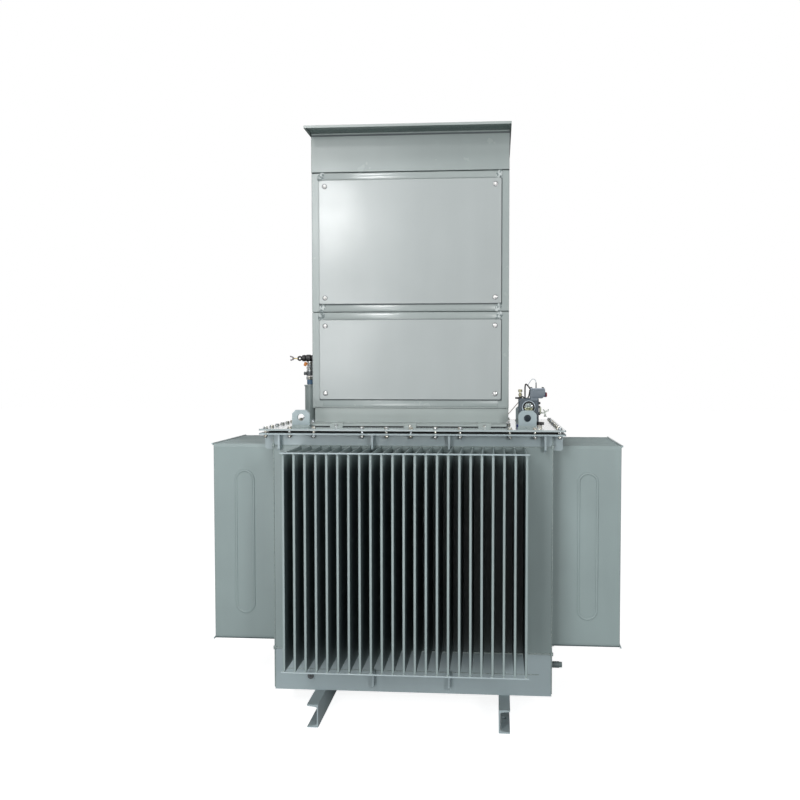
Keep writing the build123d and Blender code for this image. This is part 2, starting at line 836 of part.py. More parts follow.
# Bleed cock on top of the relay body and drain cock low on its right
relay_left_x = relay_x - (relay_width - relay_corner) / 2
relay_right_x = relay_x + (relay_width - relay_corner) / 2
with BuildPart() as relay_cocks:
    with BuildSketch(Plane.XY.offset(relay_top_z)):
        with Locations((relay_left_x + 2 * cock_radius, relay_y)):
            Circle(cock_radius)
    extrude(amount=cock_length)
    with BuildSketch(Plane.XY.offset(relay_top_z + cock_length)):
        with Locations((relay_left_x + 2 * cock_radius, relay_y)):
            RegularPolygon(1.3 * cock_radius, 6)
    extrude(amount=cock_radius)
    with BuildSketch(
        Plane(
            origin=(relay_right_x, relay_y, cover_top_z + drain_cock_height),
            x_dir=(0, 1, 0),
            z_dir=(1, 0, 0),
        )
    ):
        Circle(cock_radius)
    extrude(amount=cock_length)
relay_cocks.part.label = "relay_cocks"
export_step(relay_cocks.part, "parts/relay_cocks.step")


# Thermometer pocket: a hexagon nut on the cover with a round black cap over it
pocket_x = relay_right_x
with BuildPart() as pocket_nut:
    with BuildSketch(Plane.XY.offset(cover_top_z)):
        with Locations((pocket_x, pocket_y)):
            RegularPolygon(pocket_nut_flats / 2, 6, major_radius=False)
    extrude(amount=pocket_nut_height)
pocket_nut.part.label = "thermometer_pocket_nut"
export_step(pocket_nut.part, "parts/thermometer_pocket_nut.step")

with BuildPart() as pocket_cap:
    with BuildSketch(Plane.XY.offset(cover_top_z + pocket_nut_height)):
        with Locations((pocket_x, pocket_y)):
            Circle(pocket_cap_radius)
    extrude(amount=pocket_cap_height)
    fillet(pocket_cap.faces().sort_by(Axis.Z)[-1].edges(), pocket_cap_height / 6)
pocket_cap.part.label = "thermometer_pocket_cap"
export_step(pocket_cap.part, "parts/thermometer_pocket_cap.step")


# Drain valve low on the right of the skirt
drain_plane = Plane(
    origin=(tank_width / 2, drain_y, floor_z + drain_height),
    x_dir=(0, 1, 0),
    z_dir=(1, 0, 0),
)
with BuildPart() as drain_valve:
    with BuildSketch(drain_plane):
        Circle(drain_flange_radius)
    extrude(amount=drain_flange_plate)
    with BuildSketch(drain_plane):
        Circle(drain_radius)
    extrude(amount=drain_length)
    with BuildSketch(drain_plane.offset(drain_length)):
        RegularPolygon(drain_plug_flats / 2, 6, major_radius=False)
    extrude(amount=drain_plug_length)
    chamfer(drain_valve.faces().sort_by(Axis.X)[-1].edges(), drain_plug_length / 8)
drain_valve.part.label = "drain_valve"
export_step(drain_valve.part, "parts/drain_valve.step")

# Earth terminals: a welded pad and a hexagon bolt, at two opposite corners
with BuildPart() as earth_terminals:
    for end, x in (("front", -earth_x), ("back", -earth_x)):
        with BuildSketch(wall_planes[end]):
            with Locations((x, floor_z + earth_height)):
                Rectangle(earth_pad, earth_pad)
        extrude(amount=earth_pad_plate)
        with BuildSketch(wall_planes[end].offset(earth_pad_plate)):
            with Locations((x, floor_z + earth_height)):
                RegularPolygon(earth_bolt_flats / 2, 6, major_radius=False)
        extrude(amount=earth_bolt_length)
earth_terminals.part.label = "earth_terminals"
export_step(earth_terminals.part, "parts/earth_terminals.step")
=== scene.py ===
import math

import bpy
from mathutils import Matrix, Vector


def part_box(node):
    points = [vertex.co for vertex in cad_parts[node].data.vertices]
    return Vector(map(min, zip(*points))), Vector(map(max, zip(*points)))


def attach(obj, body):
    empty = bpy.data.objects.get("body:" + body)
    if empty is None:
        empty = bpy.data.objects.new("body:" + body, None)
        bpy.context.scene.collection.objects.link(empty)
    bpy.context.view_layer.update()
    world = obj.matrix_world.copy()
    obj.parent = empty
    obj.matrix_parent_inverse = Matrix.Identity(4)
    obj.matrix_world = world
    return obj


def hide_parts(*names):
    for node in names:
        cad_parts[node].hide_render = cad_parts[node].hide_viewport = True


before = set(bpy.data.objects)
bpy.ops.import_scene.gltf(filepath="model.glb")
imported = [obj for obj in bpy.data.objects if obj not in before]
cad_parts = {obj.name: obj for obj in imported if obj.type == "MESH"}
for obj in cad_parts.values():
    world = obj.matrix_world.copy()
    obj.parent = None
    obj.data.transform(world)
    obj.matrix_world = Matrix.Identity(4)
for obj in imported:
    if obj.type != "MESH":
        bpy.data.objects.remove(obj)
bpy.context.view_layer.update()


# Base channels
# Two hot-rolled steel channels stitch-welded under the tank floor, webs inwards, running
# from front to back. They are sprayed with the same grey-green enamel as the whole tank,
# which dries with a fine orange-peel surface.
class Wire:
    """A shader value. Arithmetic on it adds Math nodes to its material."""

    def __init__(self, tree, socket=None):
        self.tree = tree
        self.socket = socket

    def node(self, kind, settings=None, inputs=None, output=0):
        made = self.tree.nodes.new(kind)
        for name, value in (settings or {}).items():
            setattr(made, name, value)
        for name, value in (inputs or {}).items():
            if isinstance(value, Wire):
                self.tree.links.new(value.socket, made.inputs[name])
            else:
                made.inputs[name].default_value = value
        return None if output is None else Wire(self.tree, made.outputs[output])

    def math(self, operation, first, second=0.0):
        return self.node("ShaderNodeMath", {"operation": operation}, {0: first, 1: second})

    def __add__(self, other):
        return self.math("ADD", self, other)

    __radd__ = __add__

    def __sub__(self, other):
        return self.math("SUBTRACT", self, other)

    def __rsub__(self, other):
        return self.math("SUBTRACT", other, self)

    def __mul__(self, other):
        return self.math("MULTIPLY", self, other)

    __rmul__ = __mul__

    def ramp(self, low, high):
        """0 below low, 1 above high."""
        return self.node(
            "ShaderNodeMapRange",
            {"clamp": True, "interpolation_type": "SMOOTHSTEP"},
            {"Value": self, "From Min": low, "From Max": high},
        )

    def blend(self, first, second):
        """The first colour where this value is 0, the second where it is 1."""
        return self.node(
            "ShaderNodeMix", {"data_type": "RGBA"}, {0: self, 6: first, 7: second}, output=2
        )

    def noise(self, scale, detail=2.0, stretch=(1.0, 1.0, 1.0)):
        """Cloudy noise over the piece; scale is the number of patches in a metre."""
        place = self.node("ShaderNodeMapping", {}, {"Vector": self, "Scale": stretch})
        return self.node("ShaderNodeTexNoise", {}, {"Vector": place, "Scale": scale, "Detail": detail})

    def bump(self, height, distance, under=None):
        """A bumped normal, on top of another one if that is given."""
        inputs = {"Height": height, "Distance": distance}
        if under is not None:
            inputs["Normal"] = under
        return self.node("ShaderNodeBump", {}, inputs)

    def axis(self, letter):
        return self.node("ShaderNodeSeparateXYZ", inputs={0: self}, output=letter)


def rgba(r, g, b):
    """A material colour from screen values of 0 to 255."""
    linear = []
    for value in (r, g, b):
        share = value / 255.0
        linear.append(share / 12.92 if share <= 0.04045 else ((share + 0.055) / 1.055) ** 2.4)
    return (*linear, 1.0)


def start_material(name, roughness, metallic=0.0, coat=0.0):
    """A new material: its shader and the wire of the piece's own coordinates."""
    material = bpy.data.materials.new(name)
    material.use_nodes = True
    shader = material.node_tree.nodes["Principled BSDF"]
    shader.inputs["Roughness"].default_value = roughness
    shader.inputs["Metallic"].default_value = metallic
    shader.inputs["Coat Weight"].default_value = coat
    shader.inputs["Coat Roughness"].default_value = 0.08
    spot = Wire(material.node_tree).node("ShaderNodeTexCoord", output="Object")
    return material, shader, spot


def feed(shader, **sockets):
    """Links wires to the shader's sockets; an underscore stands for a space."""
    for name, wire in sockets.items():
        wire.tree.links.new(wire.socket, shader.inputs[name.replace("_", " ")])


def enamel(
    name, colour, roughness, peel=0.0005, wave=0.0, dusty=0.3, coat=0.0, under=None, mottle=1.0, painted_shade=None
):
    """Sprayed enamel: faint clouds and streaks of tone, orange peel, dust on top faces,
    and on thin sheet the slow waves that its reflections show. under is a darker colour
    painted on faces that look down, as painted shade. The last argument is a mask of
    places deep in shade and the darker colour painted there: painted shade."""
    material, shader, spot = start_material(name, roughness, coat=coat)
    pale = tuple(min(1.0, value * (1.0 + 0.05 * mottle)) for value in colour[:3]) + (1.0,)
    deep = tuple(value * (1.0 - 0.06 * mottle) for value in colour[:3]) + (1.0,)
    clouds = spot.noise(2.2, 3.0)
    streaks = spot.noise(7.0, 3.0, (1.0, 1.0, 0.12))
    paint = (clouds * 0.6 + streaks * 0.4).ramp(0.25, 0.75).blend(deep, pale)
    facing = spot.node("ShaderNodeNewGeometry", output="Normal")
    facing_up = facing.axis("Z")
    if under is not None:
        paint = facing_up.ramp(-0.9, -0.6).blend(under, paint)
    if painted_shade is not None:
        mask, shade_colour = painted_shade
        paint = mask(spot, facing).blend(paint, shade_colour)
    upward = facing_up.ramp(0.7, 1.0)
    grit = spot.noise(60.0, 5.0).ramp(0.35, 0.75)
    dust = upward * grit * dusty
    normal = spot.bump(spot.noise(260.0, 1.0) * 0.7 + spot.noise(26.0, 2.0) * 0.9, peel)
    if wave:
        normal = spot.bump(spot.noise(2.4, 1.5, (1.0, 1.0, 0.55)), wave, normal)
    feed(
        shader,
        Base_Color=dust.blend(paint, (0.46, 0.47, 0.44, 1.0)),
        Roughness=spot.noise(14.0, 4.0) * 0.08 + (roughness - 0.04) + dust * 0.5,
        Normal=normal,
    )
    return material


def finish_nodes(material, *nodes):
    """Gives CAD nodes their material."""
    for node in nodes:
        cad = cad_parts[node]
        cad.data.materials.clear()
        cad.data.materials.append(material)


def deselect():
    bpy.ops.object.select_all(action="DESELECT")


def take(piece):
    """Selects one piece alone and makes it the active one."""
    deselect()
    bpy.context.view_layer.objects.active = piece
    piece.select_set(True)


def fix_place():
    """Writes the place, turn and scale of what is selected into its mesh."""
    bpy.ops.object.transform_apply(location=True, rotation=True, scale=True)


def settle(piece, name, material):
    """Names a finished piece, gives it its finish and fixes it to the transformer."""
    take(piece)
    fix_place()
    piece.name = name
    piece.data.name = name
    piece.data.materials.clear()
    piece.data.materials.append(material)
    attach(piece, "root")
    return piece


def ease_edges(piece, width, segments=2, angle=35.0):
    """Rounds the sharp edges of a piece and smooths its shading between them."""
    take(piece)
    bpy.ops.object.modifier_add(type="BEVEL")
    piece.modifiers[-1].width = width
    piece.modifiers[-1].segments = segments
    piece.modifiers[-1].angle_limit = math.radians(angle)
    bpy.ops.object.modifier_apply(modifier=piece.modifiers[-1].name)
    bpy.ops.object.shade_smooth_by_angle(angle=math.radians(40))
    return piece


def rod(start, end, radius, sides=12):
    """A round bar between two points, with its end edges eased."""
    start, end = Vector(start), Vector(end)
    run = end - start
    deselect()
    bpy.ops.mesh.primitive_cylinder_add(
        vertices=sides,
        radius=radius,
        depth=run.length,
        location=(start + end) / 2,
        rotation=run.to_track_quat("Z", "Y").to_euler(),
    )
    return ease_edges(bpy.context.active_object, radius * 0.35)


def join(pieces):
    """Makes one piece out of several."""
    deselect()
    for piece in pieces:
        piece.select_set(True)
    bpy.context.view_layer.objects.active = pieces[0]
    if len(pieces) > 1:
        bpy.ops.object.join()
    return pieces[0]


def grained(name, roughness, patches, detail, blur, dark, light, relief):
    """A finish in two tones by its grain, the light one standing proud. patches is the
    grain's fineness, and blur is how softly the tones meet."""
    material, shader, spot = start_material(name, roughness)
    grain = spot.noise(patches, detail)
    tone = grain.ramp(0.5 - blur, 0.5 + blur).blend(dark, light)
    feed(shader, Base_Color=tone, Normal=spot.bump(grain, relief))
    return material


tank_enamel = enamel("tank_enamel", rgba(155, 170, 174), 0.30, mottle=1.6)
painted_weld = grained(
    "painted_weld", 0.26, 170.0, 3.0, 0.2, rgba(140, 154, 153), rgba(160, 173, 171), 0.004
)
finish_nodes(tank_enamel, "base_channel_left", "base_channel_right")


def welded(beads, name):
    """Settles weld beads as one piece, painted over with the tank."""
    settle(join(beads), name, painted_weld)


skirt_low, skirt_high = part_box("tank_skirt")
tank_half_x, tank_half_y = skirt_high[0], skirt_high[1]
floor_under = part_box("tank_floor")[0][2]
stitch_length, stitch_count = 0.060, 6
for hand in ("left", "right"):
    low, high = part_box(f"base_channel_{hand}")
    stitches = []
    for x in (low[0], high[0]):
        for number in range(stitch_count):
            y = (number - (stitch_count - 1) / 2) * 2 * tank_half_y / stitch_count
            start = (x, y - stitch_length / 2, floor_under - 0.001)
            stitches.append(rod(start, (x, y + stitch_length / 2, floor_under - 0.001), 0.0035))
    welded(stitches, f"channel_welds_{hand}")


# Tank
# A floor plate, a folded skirt of 6 mm plate and four walls of thin sheet between the
# fin roots, all welded steel. Round weld beads run along the top of the skirt and low
# on it, under the rim and down the four corners, with a small knob where they meet.
finish_nodes(tank_enamel, "tank_floor")
rim_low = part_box("tank_rim")[0]
rim_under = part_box("front_rim_ribs")[1][2]


def seam_around(name, height, radius, short=0.0):
    """A weld bead all around the tank."""
    half_x, half_y = tank_half_x - short, tank_half_y - short
    beads = []
    for sign in (-1, 1):
        y, x = sign * tank_half_y, sign * tank_half_x
        beads.append(rod((-half_x, y, height), (half_x, y, height), radius))
        beads.append(rod((x, -half_y, height), (x, half_y, height), radius))
    welded(beads, name)


low_seam_height = skirt_low[2] + 0.085
seam_around("skirt_top_seam", skirt_high[2], 0.0045)
seam_around("skirt_low_seam", low_seam_height, 0.0022, short=0.055)
seam_around("rim_band_seam", rim_low[2], 0.0028)
seam_around("rim_inner_seam", rim_under, 0.0035)

corner_beads = []
for x in (-tank_half_x, tank_half_x):
    for y in (-tank_half_y, tank_half_y):
        corner_beads.append(rod((x, y, skirt_low[2]), (x, y, rim_under), 0.0026))
        for height in (skirt_high[2], rim_low[2]):
            corner_beads.append(rod((x, y, height - 0.008), (x, y, height + 0.008), 0.0075))
welded(corner_beads, "tank_corner_seams")


# Cooling fins
# Each wall's fins are hollow folds of the wall sheet, pinched shut and seam-welded at top
# and bottom, with an oval outline pressed into the two outermost faces. Two round rods
# cross the tips of each pack, with a dab of weld on every fin.
fin_bottom, fin_top = (corner[2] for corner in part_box("front_fins"))
inner_half_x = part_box("front_fins")[1][0] - 0.003
inner_half_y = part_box("left_fins")[1][1] - 0.003
fin_pitch, fin_thickness = 0.045, 0.011
rod_radius = 0.0035
swage_radius, swage_length = 0.041, 0.574


def shade_between_folds(spot, facing):
    """1 on the upright faces deep between the fins of a pack and on the wall behind them,
    fading out near the fins' top and below them; 0 on their tips and outer faces. It
    marks where a darker colour is painted in as painted shade."""
    east, north = (spot.math("ABSOLUTE", spot.axis(letter)) for letter in "XY")
    facing_east, facing_north = (spot.math("ABSOLUTE", facing.axis(letter)) for letter in "XY")
    front_pack = (inner_half_x - east).ramp(0.0, 0.001) * (north - tank_half_y).ramp(-0.004, 0.0)
    side_pack = (inner_half_y - north).ramp(0.0, 0.001) * (east - tank_half_x).ramp(-0.004, 0.0)
    front_tips = facing_north.ramp(0.6, 0.8) * (north - tank_half_y).ramp(0.02, 0.03)
    side_tips = facing_east.ramp(0.6, 0.8) * (east - tank_half_x).ramp(0.02, 0.03)
    upright = 1.0 - spot.math("ABSOLUTE", facing.axis("Z")).ramp(0.5, 0.8)
    height = spot.axis("Z")
    upright = upright * (1.0 - height.ramp(fin_top - 0.09, fin_top - 0.02))
    upright = upright * height.ramp(fin_bottom - 0.12, fin_bottom - 0.01)
    return (front_pack * (1.0 - front_tips) + side_pack * (1.0 - side_tips)) * upright


# Darker colours for the faces deep between the fins and for the skirt just below them: painted shade.
fin_gap_shade, skirt_gap_shade = rgba(76, 90, 92), rgba(100, 114, 117)
fin_sheet = enamel(
    "fin_sheet",
    rgba(136, 151, 151),
    0.38,
    peel=0.0002,
    wave=0.003,
    dusty=0.0,
    mottle=2.0,
    painted_shade=(shade_between_folds, fin_gap_shade),
)
sides = ("front", "back", "left", "right")
for side in sides:
    finish_nodes(fin_sheet, f"{side}_fins", f"{side}_wall")
    finish_nodes(tank_enamel, f"{side}_fin_rods")
# The skirt just below the fins is painted darker too: painted shade.
skirt_enamel = enamel(
    "skirt_enamel", rgba(155, 170, 174), 0.30, mottle=1.6, painted_shade=(shade_between_folds, skirt_gap_shade)
)
finish_nodes(skirt_enamel, "tank_skirt")


def pack_of(side):
    """Where a pack of fins stands: the number of the axis along the tank, that of the axis
    outwards with its sign, the pack's corners, and how far out its roots and tips are."""
    along = 0 if side in ("front", "back") else 1
    sign = -1 if side in ("front", "left") else 1
    axis = 1 - along
    low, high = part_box(f"{side}_fins")
    tip = high[axis] if sign > 0 else -low[axis]
    return along, axis, sign, low, high, (tank_half_x, tank_half_y)[axis], tip


def weld_dabs(side):
    """Dabs of weld where the rods cross a pack's fins, and where each fin's pinched end
    meets the wall."""
    along, axis, sign, low, high, root, tip = pack_of(side)
    count = round((high[along] - low[along] - fin_thickness) / fin_pitch) + 1
    dabs = []
    for number in range(count):
        across = low[along] + fin_thickness / 2 + number * fin_pitch
        for level, inward in ((high[2], -1), (low[2], 1)):
            place = [0.0, 0.0, level + inward * rod_radius * 1.2]
            place[along] = across
            place[axis] = sign * (tip + 0.002)
            reach = Vector(place)
            reach[along] += 0.004
            place[along] -= 0.004
            dabs.append(rod(place, reach, 0.0032, 8))
            spot = Vector((0.0, 0.0, level))
            spot[along] = across
            spot[axis] = sign * (root + 0.001)
            away = spot.copy()
            away[axis] += sign * 0.016
            dabs.append(rod(spot, away, 0.0036, 8))
    welded(dabs, f"{side}_fin_welds")


def mode(name):
    bpy.ops.object.mode_set(mode=name)


def pick(piece, wanted):
    """Opens the piece for editing with only the wanted vertices selected."""
    mode("EDIT")
    bpy.ops.mesh.select_mode(type="VERT")
    bpy.ops.mesh.select_all(action="DESELECT")
    mode("OBJECT")
    for vertex in piece.data.vertices:
        vertex.select = wanted(vertex.co)
    mode("EDIT")


def swage_crease(side):
    """The rounded crease of the oval pressed into a pack's two outermost faces."""
    along, axis, sign, low, high, root, tip = pack_of(side)
    creases = []
    for face in (low[along] + 0.0015, high[along] - 0.0015):
        centre = Vector((0.0, 0.0, (low[2] + high[2]) / 2))
        centre[axis] = sign * ((root + tip) / 2 + 0.010)
        centre[along] = face
        deselect()
        bpy.ops.mesh.primitive_torus_add(
            major_segments=48,
            minor_segments=12,
            major_radius=swage_radius,
            minor_radius=0.006,
            location=centre,
            rotation=(0.0, math.radians(90), 0.0) if along == 0 else (math.radians(90), 0.0, 0.0),
        )
        fix_place()
        crease = bpy.context.active_object
        for end in (-1, 1):
            pick(crease, lambda place: (place.z - centre.z) * end > 0.0001)
            bpy.ops.transform.translate(value=(0.0, 0.0, end * swage_length / 2))
            mode("OBJECT")
        flatten = [1.0, 1.0, 1.0]
        flatten[along] = 0.5
        pick(crease, lambda place: True)
        bpy.ops.transform.resize(value=flatten, center_override=centre)
        mode("OBJECT")
        bpy.ops.object.shade_smooth()
        creases.append(crease)
    settle(join(creases), f"{side}_fin_swages", fin_sheet)


for side in sides:
    weld_dabs(side)
    swage_crease(side)


# Rim, gasket and cover
# The tank ends in a welded band with an outward rim, held up by flat ribs. A black
# cork-rubber gasket lies between the rim and the glossy cover plate, and shows as a
# dark line.
rim_ribs = [f"{side}_rim_ribs" for side in sides]
finish_nodes(tank_enamel, "tank_rim", "front_skirt_ribs", "back_skirt_ribs", *rim_ribs)
cover_enamel = enamel("cover_enamel", rgba(170, 182, 184), 0.16, peel=0.0002, dusty=0.0, coat=0.6)
finish_nodes(cover_enamel, "tank_cover")
cover_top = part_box("tank_cover")[1][2]
black_gasket = grained(
    "gasket_rubber", 0.8, 240.0, 3.0, 0.2, (0.003, 0.003, 0.0035, 1.0), (0.01, 0.01, 0.011, 1.0), 0.0006
)
finish_nodes(black_gasket, "cover_gasket", "riser_gasket", "box_panel_seals")


# Cover bolts
# Zinc-plated M12 bolts all around the cover: a hexagon head and washer on top, the shank
# through the gap outside the gasket, and a washer and nut below the rim.
def zinc_plate():
    """Bright zinc with a faint yellow and blue cast, and small dull spots."""
    material, shader, spot = start_material("zinc_plate", 0.3, metallic=0.85)
    cast = spot.noise(55.0, 3.0).ramp(0.35, 0.65)
    dull = spot.noise(300.0, 4.0).ramp(0.45, 0.8)
    feed(
        shader,
        Base_Color=cast.blend((0.36, 0.39, 0.41, 1.0), (0.47, 0.45, 0.39, 1.0)),
        Roughness=dull * 0.3 + 0.2,
        Normal=spot.bump(dull, 0.0003),
    )
    return material


bright_zinc = zinc_plate()


def turned(sides, radius, bottom, height, ease):
    """A hexagon or round on the origin's axis, its edges bevelled."""
    deselect()
    bpy.ops.mesh.primitive_cylinder_add(
        vertices=sides, radius=radius, depth=height, location=(0.0, 0.0, bottom + height / 2)
    )
    return ease_edges(bpy.context.active_object, ease)


def bolt_of(*parts):
    """A bolt of several rounds and hexagons, each given as turned takes it. Its origin
    is the middle of the first."""
    return join([turned(*part) for part in parts])


def copy_to(pattern, places, name, material):
    """Copies a piece to each place, turned about its own axis by the given angle."""
    for number, (x, y, z, angle) in enumerate(places, start=1):
        copy = pattern.copy()
        copy.data = pattern.data.copy()
        bpy.context.collection.objects.link(copy)
        copy.location = (x, y, z)
        copy.rotation_euler = (0.0, 0.0, angle)
        settle(copy, f"{name}_{number:02d}", material)
    bpy.data.objects.remove(pattern)


bolt_row = 0.025
columns, bare_columns = 13, (3, 9)
rows = 7
bolt_pitch, side_pitch = 1.290 / 12, 0.828 / 8
bolt_places = []
for column in range(columns):
    if column not in bare_columns:
        for sign in (-1, 1):
            x = (column - (columns - 1) / 2) * bolt_pitch
            bolt_places.append((x, sign * (tank_half_y + bolt_row), 0.0, 0.37 * column))
for row in range(1, rows + 1):
    for sign in (-1, 1):
        x = sign * (tank_half_x + bolt_row + 0.002)
        bolt_places.append((x, (row - (rows + 1) / 2) * side_pitch, 0.0, 0.61 * row))
head_radius, washer_radius, shank_radius, washer_height = 0.0098, 0.0115, 0.006, 0.0025
shank_bottom, shank_top = rim_under - 0.016, cover_top + 0.004
pattern_bolt = bolt_of(
    (6, head_radius, cover_top + washer_height, 0.0070, 0.0012),
    (20, washer_radius, cover_top, washer_height, 0.0006),
    (12, shank_radius, shank_bottom, shank_top - shank_bottom, 0.001),
    (20, washer_radius, rim_under - washer_height, washer_height, 0.0006),
    (6, head_radius, rim_under - 0.0120, 0.0095, 0.0012),
)
take(pattern_bolt)
bpy.ops.object.origin_set(type="ORIGIN_CURSOR")
copy_to(pattern_bolt, bolt_places, "cover_bolt", bright_zinc)


# Lifting lugs
# Thick eye plates with cut corners, each welded across a small pad on the cover with a
# fillet all around its foot, and painted with the tank.
lugs = [f"lifting_lug_{end}_{hand}" for end in ("front", "back") for hand in ("left", "right")]
finish_nodes(tank_enamel, *lugs)
lug_plate, lug_pad = 0.016, 0.006
for lug in lugs:
    low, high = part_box(lug)
    middle_y = (low[1] + high[1]) / 2
    beads = []
    for y, z, size in (
        (middle_y - lug_plate / 2, low[2] + lug_pad, 0.0042),
        (middle_y + lug_plate / 2, low[2] + lug_pad, 0.0042),
        (low[1], low[2] + 0.001, 0.0036),
        (high[1], low[2] + 0.001, 0.0036),
    ):
        beads.append(rod((low[0], y, z), (high[0], y, z), size))
    for x in (low[0], high[0]):
        beads.append(rod((x, low[1], low[2] + 0.001), (x, high[1], low[2] + 0.001), 0.0036))
    welded(beads, f"{lug}_weld")


# Riser of the cable box
# A sheet-steel neck on a foot plate, pressed on its gasket by stepped clamps in front,
# each with a bolt, and by a small upright stud with a nut at either end.
riser_enamel = enamel("riser_enamel", rgba(166, 176, 174), 0.30)
finish_nodes(riser_enamel, "box_riser", "riser_clamps")
clamp_low, clamp_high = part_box("riser_clamps")
clamp_width = 0.056
clamp_bolt = bolt_of(
    (20, 0.0105, 0.005, 0.002, 0.0005),
    (6, 0.0090, 0.007, 0.0065, 0.001),
    (12, 0.0050, 0.0135, 0.004, 0.001),
)
clamp_places = []
for number in range(3):
    x = clamp_low[0] + clamp_width / 2 + number * (clamp_high[0] - clamp_low[0] - clamp_width) / 2
    clamp_places.append((x, clamp_low[1] + 0.0085, cover_top, 0.9 * number))
copy_to(clamp_bolt, clamp_places, "clamp_bolt", bright_zinc)

box_low, box_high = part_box("box_front_lower_frame")
riser_stud = bolt_of(
    (20, 0.0125, 0.013, 0.0025, 0.0006),
    (6, 0.0105, 0.0155, 0.010, 0.0012),
    (12, 0.0060, 0.0, 0.036, 0.0015),
)
stud_y = -0.110
stud_places = [
    (box_low[0] + 0.002, stud_y, cover_top, 0.3),
    (box_high[0] - 0.001, stud_y, cover_top, 0.8),
]
copy_to(riser_stud, stud_places, "riser_stud", bright_zinc)


# Cable box
# Folded sheet steel with a glossy, slightly wavy coat. In front and at the back are two
# windows, framed by full-height stiles with proud rails welded in between, and closed by
# pan-shaped panels on seals, with a round-headed screw at each corner.
box_coat = enamel("box_coat", rgba(153, 163, 162), 0.26, peel=0.0001, wave=0.006)
rail_coat = enamel("rail_coat", rgba(160, 169, 168), 0.15, peel=0.0001, wave=0.012)
panel_coat = enamel("panel_coat", rgba(170, 177, 177), 0.19, peel=0.0001, wave=0.006)
# The roof's faces that look down get a darker green-grey: painted shade under the roof.
roof_coat = enamel("roof_coat", rgba(160, 169, 167), 0.24, peel=0.0001, under=rgba(72, 92, 88))
finish_nodes(box_coat, "box_left_side", "box_right_side")
finish_nodes(roof_coat, "box_roof")
for end in ("front", "back"):
    finish_nodes(box_coat, f"box_{end}_header", f"box_{end}_lower_frame", f"box_{end}_upper_frame")
    finish_nodes(panel_coat, f"box_{end}_lower_panel", f"box_{end}_upper_panel")

rail_height, rail_proud = 0.027, 0.0022
top_rail_inset, bottom_rail_inset = 0.046, 0.050
panel_border = 0.036
weld_lumps = ((-0.010, 0.0105), (0.001, 0.0130), (0.011, 0.0095))
ground_weld = grained(
    "ground_weld", 0.22, 95.0, 4.0, 0.1, rgba(118, 130, 130), rgba(192, 200, 200), 0.008
)


def bar(low, high, ease=0.0012):
    """A flat bar between two corners, its edges rolled over."""
    low, high = Vector(low), Vector(high)
    deselect()
    bpy.ops.mesh.primitive_cube_add(size=1.0, location=(low + high) / 2, scale=high - low)
    fix_place()
    return ease_edges(bpy.context.active_object, ease, 3)


def rail_weld(x, height, face, outward):
    """The dressed weld between a rail and a stile: three lumps of unlike size."""
    lumps = []
    for number, (shift, size) in enumerate(weld_lumps):
        deselect()
        bpy.ops.mesh.primitive_uv_sphere_add(
            segments=14,
            ring_count=8,
            radius=size,
            location=(x + 0.005 * (number - 1), face + outward * 0.0008, height + shift),
            scale=(1.3, 0.26, 1.0),
        )
        bpy.ops.object.shade_smooth()
        lumps.append(bpy.context.active_object)
    return lumps


for end, outward in (("front", -1), ("back", 1)):
    for level in ("lower", "upper"):
        low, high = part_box(f"box_{end}_{level}_frame")
        face = low[1] if outward < 0 else high[1]
        welds = []
        for edge, height, inset in (
            ("top", high[2] - panel_border / 2, top_rail_inset),
            ("bottom", low[2] + panel_border / 2, bottom_rail_inset),
        ):
            near, far = sorted((face - outward * 0.0005, face + outward * rail_proud))
            under, over = height - rail_height / 2, height + rail_height / 2
            rail = bar((low[0] + inset, near, under), (high[0] - inset, far, over), 0.0018)
            lowest = (level, edge) == ("lower", "bottom")
            coat = box_coat if lowest else rail_coat
            settle(rail, f"box_{end}_{level}_{edge}_rail", coat)
            if not lowest:
                for x in (low[0] + inset, high[0] - inset):
                    welds += rail_weld(x, height, face, outward)
        settle(join(welds), f"box_{end}_{level}_rail_welds", ground_weld)


def rubber_shadow_lip(low, high, place, thickness, name):
    """A flat ring of grey rubber around a rectangle, from low to high in x and z, each
    side as wide as thickness says: left, right, bottom and top. It is a dark line that
    stands for a panel's painted shadow as much as for rubber."""
    left, right, bottom, top = thickness
    deselect()
    middle = ((low[0] + high[0] + right - left) / 2, place, (low[2] + high[2] + top - bottom) / 2)
    upright = (math.radians(90), 0.0, 0.0)
    bpy.ops.mesh.primitive_plane_add(size=1.0, location=middle, rotation=upright)
    fix_place()
    mode("EDIT")
    bpy.ops.mesh.select_all(action="SELECT")
    bpy.ops.transform.resize(
        value=(high[0] - low[0] + left + right, 1.0, high[2] - low[2] + top + bottom),
        center_override=middle,
    )
    bpy.ops.mesh.inset(thickness=0.014, depth=0.0)
    bpy.ops.mesh.delete(type="ONLY_FACE")
    mode("OBJECT")
    lip = bpy.context.active_object
    bpy.ops.object.modifier_add(type="SOLIDIFY")
    lip.modifiers[-1].thickness = 0.0024
    lip.modifiers[-1].offset = 0.0
    bpy.ops.object.modifier_apply(modifier=lip.modifiers[-1].name)
    return settle(ease_edges(lip, 0.0006), name, sealant_and_shadow)


# A dark grey for the seam strips and panel lips, which stand for painted shadow lines as well as sealant
# and rubber.
sealant_and_shadow = enamel("sealant_and_shadow", rgba(88, 96, 98), 0.6, dusty=0.0)
riser_inset = 0.010
box_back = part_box("box_back_lower_frame")[1][1]
riser_low = Vector((box_low[0] + riser_inset, box_low[1] + riser_inset, cover_top))
riser_high = Vector((box_high[0] - riser_inset, box_back - riser_inset, box_low[2]))
side_plate = bar(
    (riser_high[0] - 0.0010, riser_low[1], cover_top + 0.014),
    (box_high[0] - 0.0006, riser_high[1], box_low[2] + 0.0005),
)
settle(side_plate, "riser_side_plate", riser_enamel)


